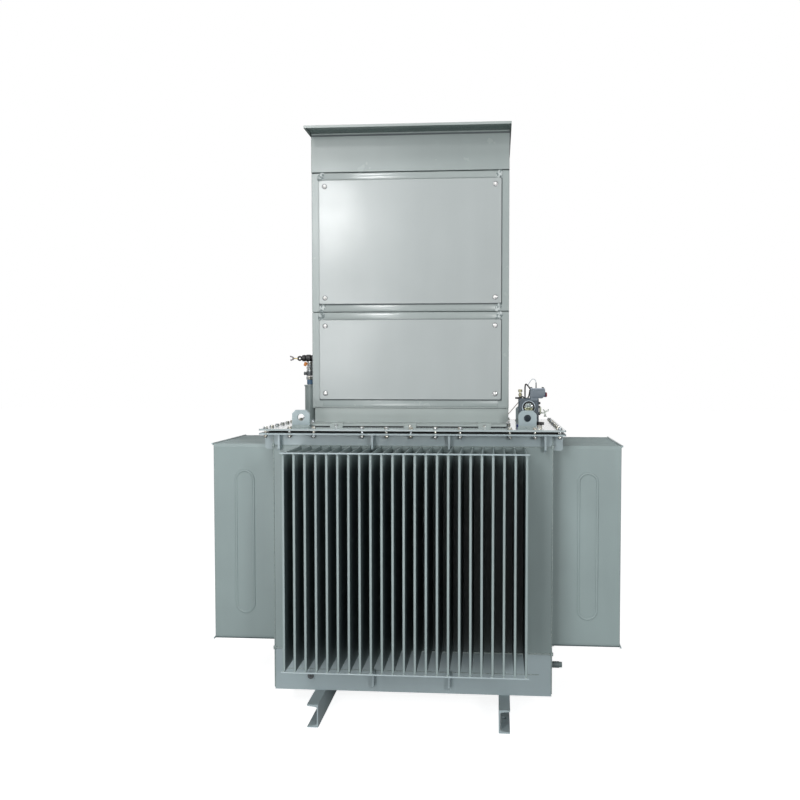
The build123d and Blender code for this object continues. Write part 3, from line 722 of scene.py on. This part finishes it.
def sealant_shadow_strip(name, low, high):
    """A dark strip along a seam at the front and the back, from low to high: sealant, and a painted shadow
    line under the part above it.
    """
    strips = []
    for face, outward in ((low[1], -1), (high[1], 1)):
        near, far = sorted((face - outward * 0.001, face + outward * 0.003))
        strips.append(bar((low[0], near, low[2]), (high[0], far, high[2])))
    settle(join(strips), name, sealant_and_shadow)


roof_shadow_seal_top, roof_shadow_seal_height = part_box("box_roof")[1][2] - 0.012, 0.007
header_front, header_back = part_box("box_front_header")[0][1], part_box("box_back_header")[1][1]
sealant_shadow_strip(
    "box_floor_shadow_seal",
    (riser_low[0], riser_low[1], box_low[2] - 0.006),
    (riser_high[0], riser_high[1], box_low[2] - 0.0002),
)
sealant_shadow_strip(
    "box_roof_shadow_seal",
    (box_low[0], header_front, roof_shadow_seal_top - roof_shadow_seal_height),
    (box_high[0], header_back, roof_shadow_seal_top),
)

# Wider at the right and the bottom, where the panels' shadow falls: painted shadow.
shadow_lip_widths = (0.0015, 0.0035, 0.0055, 0.0015)
for end in ("front", "back"):
    for level in ("lower", "upper"):
        low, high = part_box(f"box_{end}_{level}_panel")
        frame_low, frame_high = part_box(f"box_{end}_{level}_frame")
        place = frame_low[1] - 0.0010 if end == "front" else frame_high[1] + 0.0010
        rubber_shadow_lip(low, high, place, shadow_lip_widths, f"box_{end}_{level}_lip")


def stacked(rings, sides=24):
    """A turned shape on the origin's axis, drawn up from ring to ring, each (radius, height)."""
    deselect()
    bpy.ops.mesh.primitive_circle_add(
        vertices=sides, radius=rings[0][0], fill_type="NGON", location=(0.0, 0.0, rings[0][1])
    )
    made = bpy.context.active_object
    mode("EDIT")
    bpy.ops.mesh.select_all(action="SELECT")
    for (radius, height), (next_radius, next_height) in zip(rings, rings[1:]):
        bpy.ops.mesh.extrude_region_move(
            TRANSFORM_OT_translate={"value": (0.0, 0.0, next_height - height)}
        )
        grow = next_radius / radius
        bpy.ops.transform.resize(value=(grow, grow, 1.0), center_override=(0.0, 0.0, next_height))
    bpy.ops.mesh.select_all(action="SELECT")
    bpy.ops.mesh.normals_make_consistent(inside=False)
    mode("OBJECT")
    fix_place()
    bpy.ops.object.shade_smooth_by_angle(angle=math.radians(35))
    return made


origin = (0.0, 0.0, 0.0)
to_right, to_left = (0.0, 90.0, 0.0), (0.0, -90.0, 0.0)


def laid(piece, place, turn=origin):
    """Turns a piece by degrees about the origin and moves it to its place."""
    take(piece)
    piece.rotation_euler = [math.radians(angle) for angle in turn]
    piece.location = place
    fix_place()
    return piece


def bright_nickel():
    """Polished nickel that mirrors the lamps, with faint smudges."""
    material, shader, spot = start_material("bright_nickel", 0.18, metallic=0.35)
    smudge = spot.noise(220.0, 3.0)
    feed(
        shader,
        Base_Color=smudge.ramp(0.35, 0.7).blend((0.62, 0.62, 0.63, 1.0), (0.80, 0.79, 0.76, 1.0)),
        Roughness=smudge * 0.2 + 0.14,
    )
    return material


nickel = bright_nickel()
grey_washer = enamel("grey_washer", rgba(96, 102, 104), 0.5, dusty=0.0)
screw_inset = 0.028
screw_dome = [
    (0.0096, 0.0012),
    (0.0096, 0.0020),
    (0.0085, 0.0022),
    (0.0083, 0.0034),
    (0.0074, 0.0050),
    (0.0054, 0.0064),
    (0.0026, 0.0071),
    (0.0008, 0.0073),
]
screw_washer = [(0.0122, 0.0), (0.0122, 0.0010), (0.0116, 0.0014)]
for end, turn in (("front", 90.0), ("back", -90.0)):
    screw_places = []
    for level in ("lower", "upper"):
        low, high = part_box(f"box_{end}_{level}_panel")
        face = low[1] if end == "front" else high[1]
        for x in (low[0] + screw_inset, high[0] - screw_inset):
            for z in (low[2] + screw_inset, high[2] - screw_inset):
                screw_places.append((x, face, z, 0.0))
    screw = laid(stacked(screw_dome), origin, (turn, 0.0, 0.0))
    copy_to(screw, screw_places, f"panel_screw_{end}", nickel)
    washer = laid(stacked(screw_washer), origin, (turn, 0.0, 0.0))
    copy_to(washer, screw_places, f"screw_washer_{end}", grey_washer)


# Oil filler
# A flanged pipe, painted with the tank, and on it a small plated valve with a blue
# marking band, an orange stop on an arm, and a black handle whose stem ends in a
# forked key.
def plain_finish(name, colour, roughness, metallic=0.0, grain=400.0, relief=0.0002):
    """Moulded or cast stuff of one colour with a fine grain."""
    material, shader, spot = start_material(name, roughness, metallic)
    speck = spot.noise(grain, 2.0)
    pale = tuple(min(1.0, value * 1.25) for value in colour[:3]) + (1.0,)
    feed(shader, Base_Color=speck.blend(colour, pale), Normal=spot.bump(speck, relief))
    return material


black_plastic = plain_finish("black_plastic", rgba(9, 9, 10), 0.42)
blue_band = plain_finish("blue_band", rgba(70, 96, 120), 0.45)
orange_plastic = plain_finish("orange_plastic", rgba(206, 128, 58), 0.45)
dull_iron = plain_finish("dull_iron", rgba(82, 86, 88), 0.45, metallic=0.6, relief=0.0006)
cast_bronze = plain_finish("cast_bronze", rgba(148, 128, 110), 0.4, metallic=0.6, relief=0.0006)
key_steel = plain_finish("key_steel", rgba(128, 122, 124), 0.35, metallic=0.4)
key_brass = plain_finish("key_brass", rgba(178, 158, 104), 0.35, metallic=0.5)
pipe_enamel = enamel("pipe_enamel", rgba(136, 147, 146), 0.34, mottle=3.0)
finish_nodes(pipe_enamel, "filler_pipe")
pipe_low, pipe_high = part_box("filler_pipe")
filler_x = (pipe_low[0] + pipe_high[0]) / 2
filler_y = (pipe_low[1] + pipe_high[1]) / 2
pipe_top = pipe_high[2]
knob_low, knob_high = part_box("valve_knob")
knob_z = (knob_low[2] + knob_high[2]) / 2


def on_filler(piece):
    return laid(piece, (filler_x, filler_y, pipe_top))


flange_height, bolt_circle = 0.008, 0.0325
foot_weld = stacked([(0.0278, 0.0), (0.0285, 0.001), (0.0262, 0.004), (0.0252, 0.0055)], 32)
foot_weld = laid(foot_weld, (filler_x, filler_y, cover_top + flange_height))
settle(foot_weld, "filler_foot_weld", painted_weld)
foot_bolt = bolt_of((20, 0.0075, flange_height, 0.0015, 0.0004), (6, 0.0062, 0.0095, 0.005, 0.0008))
foot_bolt_places = []
for number in range(4):
    angle = math.radians(45 + 90 * number)
    x, y = filler_x + bolt_circle * math.cos(angle), filler_y + bolt_circle * math.sin(angle)
    foot_bolt_places.append((x, y, cover_top, angle))
copy_to(foot_bolt, foot_bolt_places, "filler_foot_bolt", bright_zinc)

neck = stacked([(0.013, 0.0), (0.013, 0.027)])
union = ease_edges(stacked([(0.0195, 0.026), (0.0195, 0.042)], 6), 0.0015)
bonnet = stacked([(0.0125, 0.066), (0.0165, 0.067), (0.0165, 0.075), (0.0130, 0.077), (0.0130, 0.116)])
hexagon = ease_edges(stacked([(0.0180, 0.079), (0.0180, 0.090)], 6), 0.0015)
threads = []
for z in (0.094, 0.099, 0.104):
    threads.append(stacked([(0.0128, z), (0.0146, z + 0.0015), (0.0128, z + 0.003)], 20))
metal_stack = join([neck, union, bonnet, hexagon, *threads])
valve_stack = settle(on_filler(metal_stack), "filler_valve_body", bright_zinc)
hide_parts("filler_valve")
band = stacked([(0.0132, 0.002), (0.0152, 0.003), (0.0152, 0.024), (0.0132, 0.025)])
settle(on_filler(band), "filler_blue_band", blue_band)
barrel = stacked([(0.0140, 0.044), (0.0190, 0.047), (0.0205, 0.056), (0.0190, 0.065), (0.0140, 0.068)])
side_plug = stacked([(0.0062, 0.0), (0.0062, 0.022), (0.0085, 0.023), (0.0085, 0.029), (0.0070, 0.030)], 16)
side_plug = laid(side_plug, (0.0, 0.0, 0.056), to_left)
settle(on_filler(join([barrel, side_plug])), "filler_valve_barrel", dull_iron)
tag = stacked([(0.0055, 0.0), (0.0075, 0.002), (0.0075, 0.016), (0.0050, 0.020)], 16)
tag = laid(tag, (-0.0255, -0.002, 0.093), (0.0, 18.0, 0.0))
arm = rod((-0.010, -0.002, 0.102), (-0.022, -0.002, 0.103), 0.0035)
settle(on_filler(join([tag, arm])), "filler_orange_stop", orange_plastic)


def ring_of(major, minor, place, turn):
    """A round ring of wire."""
    deselect()
    bpy.ops.mesh.primitive_torus_add(
        major_segments=28,
        minor_segments=10,
        major_radius=major,
        minor_radius=minor,
        location=place,
        rotation=[math.radians(angle) for angle in turn],
    )
    bpy.ops.object.shade_smooth()
    return bpy.context.active_object


handle_profile = [
    (0.0090, 0.0),
    (0.0150, 0.004),
    (0.0165, 0.016),
    (0.0140, 0.021),
    (0.0178, 0.026),
    (0.0178, 0.044),
    (0.0145, 0.048),
    (0.0165, 0.053),
    (0.0165, 0.069),
]
loop_x = knob_low[0] + 0.050
handle_x = loop_x + 0.010
handle = laid(stacked(handle_profile, 20), (handle_x, filler_y, knob_z - 0.002), to_right)
loop = ring_of(0.0086, 0.0042, (loop_x, filler_y, knob_z - 0.003), (90.0, 0.0, 0.0))
ear = laid(turned(12, 0.0055, 0.0, 0.0235, 0.0015), (handle_x + 0.021, filler_y, knob_z))
black_handle = settle(join([handle, loop, ear]), "filler_handle", black_plastic)
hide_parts("valve_knob")


def rods_from(place, *bars):
    """Joined round bars in the upright plane through a place. Each has two ends, given
    right of the place and above it, and a radius."""
    place, rods = Vector(place), []
    for start, end, radius in bars:
        ends = [place + Vector((right, 0.0, up)) for right, up in (start, end)]
        rods.append(rod(*ends, radius))
    return join(rods)


stem_end = Vector((loop_x - 0.030, filler_y, knob_z - 0.003))
stem = rods_from(stem_end, ((0.020, -0.001), (0.0, 0.0), 0.0026))
settle(stem, "filler_key_stem", key_brass)
upper_bend, lower_bend = (-0.0085, 0.0080), (-0.0080, -0.0070)
fork = rods_from(
    stem_end,
    ((0.0, 0.0), upper_bend, 0.0040),
    (upper_bend, (-0.0190, 0.0105), 0.0034),
    ((0.0, 0.0), lower_bend, 0.0044),
    (lower_bend, (-0.0170, -0.0080), 0.0038),
)
settle(fork, "filler_key", key_steel)


# Protection relay
# A dark moulded housing with a round sight glass in front, over half-filled oil with a
# white float. A grey terminal box with a cable gland and two bent black rods stands on
# top, with a bleed valve, and a drain tap and a sight tube are on the right.
relay_casing = plain_finish("relay_casing", rgba(56, 68, 78), 0.34, relief=0.0003)
terminal_plastic = plain_finish("terminal_plastic", rgba(88, 99, 108), 0.42)
lid_plastic = plain_finish("lid_plastic", rgba(150, 160, 172), 0.4)
valve_brass = plain_finish("valve_brass", rgba(150, 146, 120), 0.32, metallic=0.4, relief=0.0004)
ring_metal = plain_finish("ring_metal", rgba(150, 162, 170), 0.3, metallic=0.3)
tap_metal = plain_finish("tap_metal", rgba(176, 182, 176), 0.35, metallic=0.3)
deep_blue = plain_finish("deep_blue", rgba(34, 40, 96), 0.4)
gland_blue = plain_finish("gland_blue", rgba(52, 66, 128), 0.4)
gland_red = plain_finish("gland_red", rgba(136, 48, 52), 0.4)
finish_nodes(relay_casing, "relay_body")
finish_nodes(black_plastic, "thermometer_pocket_cap")
finish_nodes(bright_zinc, "thermometer_pocket_nut")

glass_low, glass_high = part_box("relay_window")
glass_x = (glass_low[0] + glass_high[0]) / 2
glass_z = (glass_low[2] + glass_high[2]) / 2
glass_back = glass_high[1]
glass_radius = (glass_high[0] - glass_low[0]) / 2


def sight_oil():
    """What shows through the glass: pale air above yellow-green oil, split by a level."""
    material, shader, spot = start_material("sight_oil", 0.12)
    level = (spot.axis("Z") - (glass_z - 0.002)).ramp(-0.002, 0.002)
    cloud = spot.noise(160.0, 3.0).ramp(0.35, 0.65)
    oil = cloud.blend(rgba(132, 132, 92), rgba(206, 208, 160))
    air = cloud.blend(rgba(206, 214, 214), rgba(150, 160, 164))
    feed(shader, Base_Color=level.blend(oil, air))
    return material


def clear_glass():
    """Clear sight glass."""
    material, shader, spot = start_material("clear_glass", 0.04)
    shader.inputs["Transmission Weight"].default_value = 0.96
    shader.inputs["IOR"].default_value = 1.45
    feed(shader, Base_Color=spot.noise(40.0).blend((0.93, 0.97, 0.95, 1.0), (1.0, 1.0, 1.0, 1.0)))
    return material


def to_front(piece, x, y, z):
    """Lays a shape that was made along the axis so that it looks to the front."""
    return laid(piece, (x, y, z), (90.0, 0.0, 0.0))


window_disc = stacked([(glass_radius - 0.0004, 0.0), (glass_radius - 0.0004, 0.0016)], 32)
window_disc = to_front(window_disc, glass_x, glass_back - 0.0002, glass_z)
window_disc = settle(window_disc, "sight_background", sight_oil())
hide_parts("relay_window")
float_place = Vector((glass_x - 0.002, glass_back - 0.0018, glass_z + 0.003))
float_body = to_front(stacked([(0.0045, 0.0), (0.0045, 0.0022), (0.0030, 0.0030)], 16), *float_place)
float_arm = rod(float_place, float_place + Vector((0.010, -0.001, 0.010)), 0.0012)
white_float = plain_finish("white_float", rgba(110, 122, 130), 0.35)
settle(join([float_body, float_arm]), "sight_float", white_float)
pane = [(glass_radius - 0.001, 0.0), (glass_radius - 0.001, 0.0018), (glass_radius - 0.006, 0.0030)]
pane = to_front(stacked(pane, 32), glass_x, glass_back - 0.0042, glass_z)
settle(pane, "sight_pane", clear_glass())
relay_low, relay_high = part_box("relay_body")
bezel_face = relay_low[1]
for name, wider, wire, deep, finish, slot in (
    ("sight_rubber_ring", 0.0022, 0.0036, 0.0012, black_gasket, "gasket_rubber"),
    ("sight_bezel", 0.0070, 0.0026, 0.0035, ring_metal, "sight_glass"),
):
    ring = ring_of(glass_radius + wider, wire, (glass_x, bezel_face + deep, glass_z), (90.0, 0.0, 0.0))
    settle(ring, name, finish)
body_front = bezel_face + 0.009
screw = stacked([(0.0036, 0.0), (0.0036, 0.0016), (0.0026, 0.0026), (0.0006, 0.0029)], 16)
screw = to_front(screw, *origin)
relay_screws = []
for dx in (-0.038, 0.038):
    for dz in (-0.030, 0.030):
        relay_screws.append((glass_x + dx, body_front, glass_z + dz, 0.0))
copy_to(screw, relay_screws, "relay_screw", dull_iron)

terminal_low, terminal_high = (Vector(corner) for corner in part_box("relay_terminal_box"))
relay_x = (relay_low[0] + relay_high[0]) / 2
relay_y = (terminal_low[1] + terminal_high[1]) / 2
relay_top = terminal_low[2]
body_left = relay_x - 0.0455
body_right = relay_x + 0.0455
lid_height = 0.005


def cut_edge(piece, x, z, amount):
    """Cuts off the long edge of a block that lies at x and z."""
    pick(piece, lambda place: abs(place.x - x) < 0.0001 and abs(place.z - z) < 0.0001)
    bpy.ops.mesh.bevel(offset=amount, segments=1, affect="EDGES")
    mode("OBJECT")
    return piece


deselect()
case_high = terminal_high[2] - lid_height
case_size = terminal_high - terminal_low
bpy.ops.mesh.primitive_cube_add(
    size=1.0,
    location=((terminal_low[0] + terminal_high[0]) / 2, relay_y, (relay_top + case_high) / 2),
    scale=(case_size[0], case_size[1] - 0.002, case_high - relay_top),
)
fix_place()
case = cut_edge(bpy.context.active_object, terminal_high[0], relay_top, 0.013)
case = settle(ease_edges(case, 0.0020, 3), "terminal_case", terminal_plastic)
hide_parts("relay_terminal_box")
apron = bar(
    (terminal_low[0] + 0.001, relay_low[1] + 0.0045, relay_top - 0.010),
    (terminal_low[0] + 0.034, relay_y, relay_top + 0.002),
)
settle(apron, "terminal_apron", terminal_plastic)
lid = bar(
    (terminal_low[0] - 0.0002, terminal_low[1], case_high + 0.0004),
    (terminal_high[0] - 0.0010, terminal_high[1], terminal_high[2]),
    0.0014,
)
settle(lid, "terminal_lid", lid_plastic)


def bent_rod(points, radius, name, material):
    """A bent rod through the given points, smooth and closed at its ends."""
    deselect()
    curve = bpy.data.curves.new(name, "CURVE")
    curve.dimensions = "3D"
    curve.bevel_depth = radius
    curve.bevel_resolution = 3
    curve.resolution_u = 6
    curve.use_fill_caps = True
    spline = curve.splines.new("NURBS")
    spline.points.add(len(points) - 1)
    for control, point in zip(spline.points, points):
        control.co = (*point, 1.0)
    spline.order_u = 3
    spline.use_endpoint_u = True
    wire = bpy.data.objects.new(name, curve)
    bpy.context.collection.objects.link(wire)
    bpy.context.view_layer.objects.active = wire
    wire.select_set(True)
    bpy.ops.object.convert(target="MESH")
    bpy.ops.object.shade_smooth()
    return settle(bpy.context.active_object, name, material)


def near_terminal(points, y):
    """Places given right of the terminal box's left side and above the relay's top."""
    return [(terminal_low[0] + right, y, relay_top + up) for right, up in points]


tall_bow = [(-0.0225, -0.001), (-0.0228, 0.024), (-0.0228, 0.054), (-0.0195, 0.066)]
tall_bow += [(-0.008, 0.056), (0.002, 0.040)]
low_bow = [(-0.043, 0.006), (-0.034, 0.010), (-0.026, 0.001), (-0.012, -0.001)]
low_bow += [(-0.004, 0.012), (-0.0015, 0.038)]
for name, bow, forward, radius in (
    ("relay_bow_tall", tall_bow, 0.020, 0.0034),
    ("relay_bow_low", low_bow, 0.026, 0.0030),
):
    bow = near_terminal(bow, relay_y - forward)
    bent_rod(bow, radius, name, black_plastic)
bail = [(-0.010, 0.058), (-0.002, 0.072), (0.010, 0.088), (0.022, 0.086), (0.0275, 0.074), (0.0275, 0.050)]
bail = near_terminal(bail, relay_y)
bail[0] = (bail[0][0], relay_y - 0.020, bail[0][2])
bent_rod(bail, 0.0013, "relay_bail", ring_metal)
bail_foot = near_terminal([(0.0275, 0.044), (0.0275, 0.071)], relay_y)
settle(rod(*bail_foot, 0.0026), "relay_bail_foot", dull_iron)
lid_ears = []
for x in (terminal_low[0] + 0.006, terminal_high[0] - 0.009):
    for y in (terminal_low[1] + 0.008, terminal_high[1] - 0.008):
        ear = stacked([(0.0046, 0.0), (0.0046, 0.004), (0.0030, 0.006)], 16)
        lid_ears.append(laid(ear, (x, y, terminal_high[2] - 0.001)))
settle(join(lid_ears), "terminal_lid_screws", dull_iron)

gland_low, gland_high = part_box("relay_cable_gland")
gland_z = (gland_low[2] + gland_high[2]) / 2 - 0.004
gland_place = (gland_low[0], relay_y, gland_z)
gland_nut = ease_edges(stacked([(0.0122, -0.0010), (0.0122, 0.0024)], 6), 0.0008)
gland_back = stacked([(0.0112, 0.0024), (0.0112, 0.0048)])
gland_nut = laid(join([gland_nut, gland_back]), gland_place, to_right)
gland_nut = settle(gland_nut, "relay_gland_nut", gland_blue)
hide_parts("relay_cable_gland")
gland_ring = [(0.0114, 0.0046), (0.0120, 0.0052), (0.0114, 0.0060)]
gland_cap = [(0.0108, 0.0058), (0.0108, 0.0105), (0.0080, 0.0124), (0.0050, 0.0128)]
for name, rings, finish in (
    ("relay_gland_ring", gland_ring, black_plastic),
    ("relay_gland_cap", gland_cap, gland_red),
):
    settle(laid(stacked(rings), gland_place, to_right), name, finish)

lever_foot = (body_left + 0.006, relay_y - 0.030, relay_top - 0.002)
lever = rods_from(lever_foot, ((0.002, 0.003), (-0.021, 0.004), 0.0042))
lever_knob = laid(stacked([(0.0060, 0.0), (0.0060, 0.008), (0.0040, 0.010)], 16), lever_foot)
settle(join([lever, lever_knob]), "relay_test_lever", black_plastic)
bleed_x = body_left + 0.0085
bleed = [
    ease_edges(stacked([(0.0105, -0.001), (0.0105, 0.005)], 6), 0.001),
    stacked([(0.0062, 0.004), (0.0062, 0.026)], 20),
    stacked([(0.0080, 0.012), (0.0086, 0.013), (0.0086, 0.018), (0.0080, 0.019)], 20),
    stacked([(0.0082, 0.028), (0.0095, 0.029), (0.0095, 0.038), (0.0078, 0.040)], 20),
]
bleed = laid(join(bleed), (bleed_x, relay_y, relay_top))
bleed = settle(bleed, "relay_bleed_valve", valve_brass)
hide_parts("relay_cocks")

tap_z = cover_top + 0.060
tap_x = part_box("relay_cocks")[1][0] + 0.002
tap = rods_from(
    (tap_x, relay_y, tap_z),
    ((-0.0320, 0.004), (0.0, 0.004), 0.0036),
    ((0.0, -0.012), (0.0, 0.010), 0.0042),
    ((0.0, 0.008), (-0.009, 0.020), 0.0030),
    ((0.0, 0.008), (0.0135, 0.0165), 0.0030),
    ((0.0115, 0.010), (0.0150, 0.021), 0.0022),
    ((-0.0080, -0.0115), (0.0080, -0.0115), 0.0022),
)
settle(tap, "relay_drain_tap", tap_metal)
tube_ivory = plain_finish("tube_ivory", rgba(172, 178, 156), 0.3)
tube_foot = (body_right, relay_y - 0.012, tap_z)
tube = rods_from(tube_foot, ((0.0075, 0.0), (0.0075, 0.030), 0.0044))
settle(tube, "relay_sight_tube", tube_ivory)
clips = rods_from(
    tube_foot,
    ((-0.001, 0.048), (0.008, 0.048), 0.0058),
    ((-0.001, 0.031), (0.008, 0.031), 0.0050),
    ((-0.001, -0.001), (0.008, -0.001), 0.0050),
)
settle(clips, "relay_tube_clips", dull_iron)
blue_cap = stacked([(0.0060, 0.0), (0.0066, 0.001), (0.0066, 0.012), (0.0050, 0.014)], 20)
blue_cap = laid(blue_cap, (body_left - 0.0035, relay_low[1] + 0.001, cover_top))
settle(blue_cap, "relay_blue_cap", deep_blue)
bond_start = (body_left + 0.001, relay_y, relay_top - 0.018)
bond = rod(bond_start, (box_high[0] - 0.0012, -0.095, cover_top + 0.052), 0.0017)
settle(bond, "relay_bond_rod", cast_bronze)
cap_low, cap_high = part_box("thermometer_pocket_cap")
cap_ear = bar(
    (cap_high[0] - 0.012, cap_low[1] + 0.003, cap_low[2] + 0.0005),
    (cap_high[0] + 0.0085, cap_high[1] - 0.003, cap_high[2] - 0.0005),
    0.002,
)
settle(cap_ear, "thermometer_cap_ear", black_plastic)


# Drain valve and earth terminals
# A small threaded drain with a hexagon plug, in a darker coat, and welded earth pads
# with a bolt, spring washer and nut.
dark_enamel = enamel("dark_enamel", rgba(92, 106, 106), 0.35)
finish_nodes(dark_enamel, "drain_valve")
finish_nodes(tank_enamel, "earth_terminals")
drain_low, drain_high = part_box("drain_valve")
drain_y = (drain_low[1] + drain_high[1]) / 2
drain_z = (drain_low[2] + drain_high[2]) / 2
drain_bead = stacked([(0.0225, 0.0), (0.0230, 0.001), (0.0210, 0.003)], 32)
drain_bead = laid(drain_bead, (tank_half_x, drain_y, drain_z), to_right)
settle(drain_bead, "drain_weld", painted_weld)
drain_rings = []
for step in range(3):
    place = (drain_low[0] + 0.014 + 0.009 * step, drain_y, drain_z)
    drain_rings.append(ring_of(0.0138, 0.0016, place, to_right))
settle(join(drain_rings), "drain_thread_rings", dull_iron)

earth_low, earth_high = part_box("earth_terminals")
earth_x = earth_low[0] + 0.017
earth_z = (earth_low[2] + earth_high[2]) / 2
pad_face = tank_half_y + 0.005
for end, face, turn in (("front", -pad_face, 90.0), ("back", pad_face, -90.0)):
    washer = stacked([(0.0145, 0.0), (0.0145, 0.002)])
    spring = stacked([(0.0120, 0.002), (0.0120, 0.0045)])
    nut = ease_edges(stacked([(0.0122, 0.0045), (0.0122, 0.0125)], 6), 0.0012)
    stud = stacked([(0.0055, 0.0125), (0.0055, 0.0185), (0.0045, 0.0195)], 16)
    earth_bolt = laid(join([washer, spring, nut, stud]), (earth_x, face, earth_z), (turn, 0.0, 0.0))
    settle(earth_bolt, f"earth_bolt_{end}", dull_iron)


# Studio
# A pale floor that the camera sees as white, a white surround, five soft lamps in front
# on the left, above, below and at window height, a sixth on the right, and the camera
# of the photograph.
deselect()
bpy.ops.mesh.primitive_plane_add(size=60.0, location=origin)
floor = bpy.context.active_object
floor.name = "studio_floor"
floor_material = bpy.data.materials.new("studio_floor")
floor_material.use_nodes = True
floor_tree = floor_material.node_tree
floor_tree.nodes.clear()
white = (1.0, 1.0, 1.0, 1.0)
floor_glow = 0.86
wire = Wire(floor_tree)
speck = wire.node("ShaderNodeTexCoord", output="Object").noise(1.5, 2.0)
paint = speck.blend((0.78, 0.78, 0.78, 1.0), (0.8, 0.8, 0.8, 1.0))
matt = wire.node("ShaderNodeBsdfDiffuse", inputs={"Color": paint})
seen = wire.node("ShaderNodeLightPath", output="Is Camera Ray")
glow = wire.node("ShaderNodeEmission", inputs={"Color": white, "Strength": seen * floor_glow})
lit = wire.node("ShaderNodeAddShader", inputs={0: matt, 1: glow})
wire.node("ShaderNodeOutputMaterial", inputs={"Surface": lit}, output=None)
floor.data.materials.append(floor_material)

world = bpy.data.worlds.new("studio_world")
bpy.context.scene.world = world
world.use_nodes = True
world.node_tree.nodes.clear()
ambient = 0.20
sky = Wire(world.node_tree)
seen, mirrored, through = (
    sky.node("ShaderNodeLightPath", output=f"Is {kind} Ray")
    for kind in ("Camera", "Glossy", "Transmission")
)
shown = sky.math("MINIMUM", seen + mirrored + through, 1.0)
strength = shown * (1.0 - ambient) + ambient
background = sky.node("ShaderNodeBackground", inputs={"Color": white, "Strength": strength})
sky.node("ShaderNodeOutputWorld", inputs={"Surface": background}, output=None)


def soft_light(name, place, aim_height, size, power):
    """A soft rectangular lamp that looks at the transformer's axis at a height."""
    aim = Vector((0.0, 0.0, aim_height))
    deselect()
    bpy.ops.object.light_add(type="AREA", location=place)
    lamp = bpy.context.active_object
    lamp.name = name
    lamp.data.shape = "RECTANGLE"
    lamp.data.size, lamp.data.size_y = size
    lamp.data.energy = power
    lamp.rotation_euler = (aim - Vector(place)).to_track_quat("-Z", "Y").to_euler()


soft_light("window_light", (-1.4, -5.2, 3.1), 1.2, (0.8, 0.8), 38.5)
soft_light("lower_window_light", (-1.3, -5.2, 1.9), 1.2, (0.7, 0.9), 14.0)
soft_light("upper_light", (-1.6, -5.5, 4.8), 1.4, (0.8, 0.6), 38.0)
soft_light("top_light", (-0.8, -3.0, 5.4), 1.4, (1.2, 1.2), 60.0)
soft_light("low_light", (-0.9, -5.0, 0.4), 1.1, (1.0, 0.6), 42.0)
soft_light("right_light", (2.1, -4.9, 1.9), 1.1, (0.5, 0.9), 60.0)

deselect()
bpy.ops.object.camera_add()
camera = bpy.context.active_object
camera.name = "photo_camera"
bpy.context.scene.camera = camera
focal_pixels, frame_pixels = 912.8, 800
axis_right, axis_down = 21.9, 10.7
yaw, pitch, roll = (math.radians(angle) for angle in (4.73, 2.56, -0.015))
sensor = 36.0
camera.data.sensor_width = sensor
camera.data.sensor_fit = "HORIZONTAL"
camera.data.lens = focal_pixels / frame_pixels * sensor
camera.data.shift_x = -axis_right / frame_pixels
camera.data.shift_y = axis_down / frame_pixels
camera.data.clip_start, camera.data.clip_end = 0.1, 100.0
look = Matrix.Rotation(yaw, 4, "Z") @ Matrix.Rotation(math.pi / 2 - pitch, 4, "X")
look = look @ Matrix.Rotation(roll, 4, "Z")
camera.matrix_world = Matrix.Translation((0.37576, -4.37085, 1.53329)) @ look

bpy.context.scene.view_settings.view_transform = "Standard"
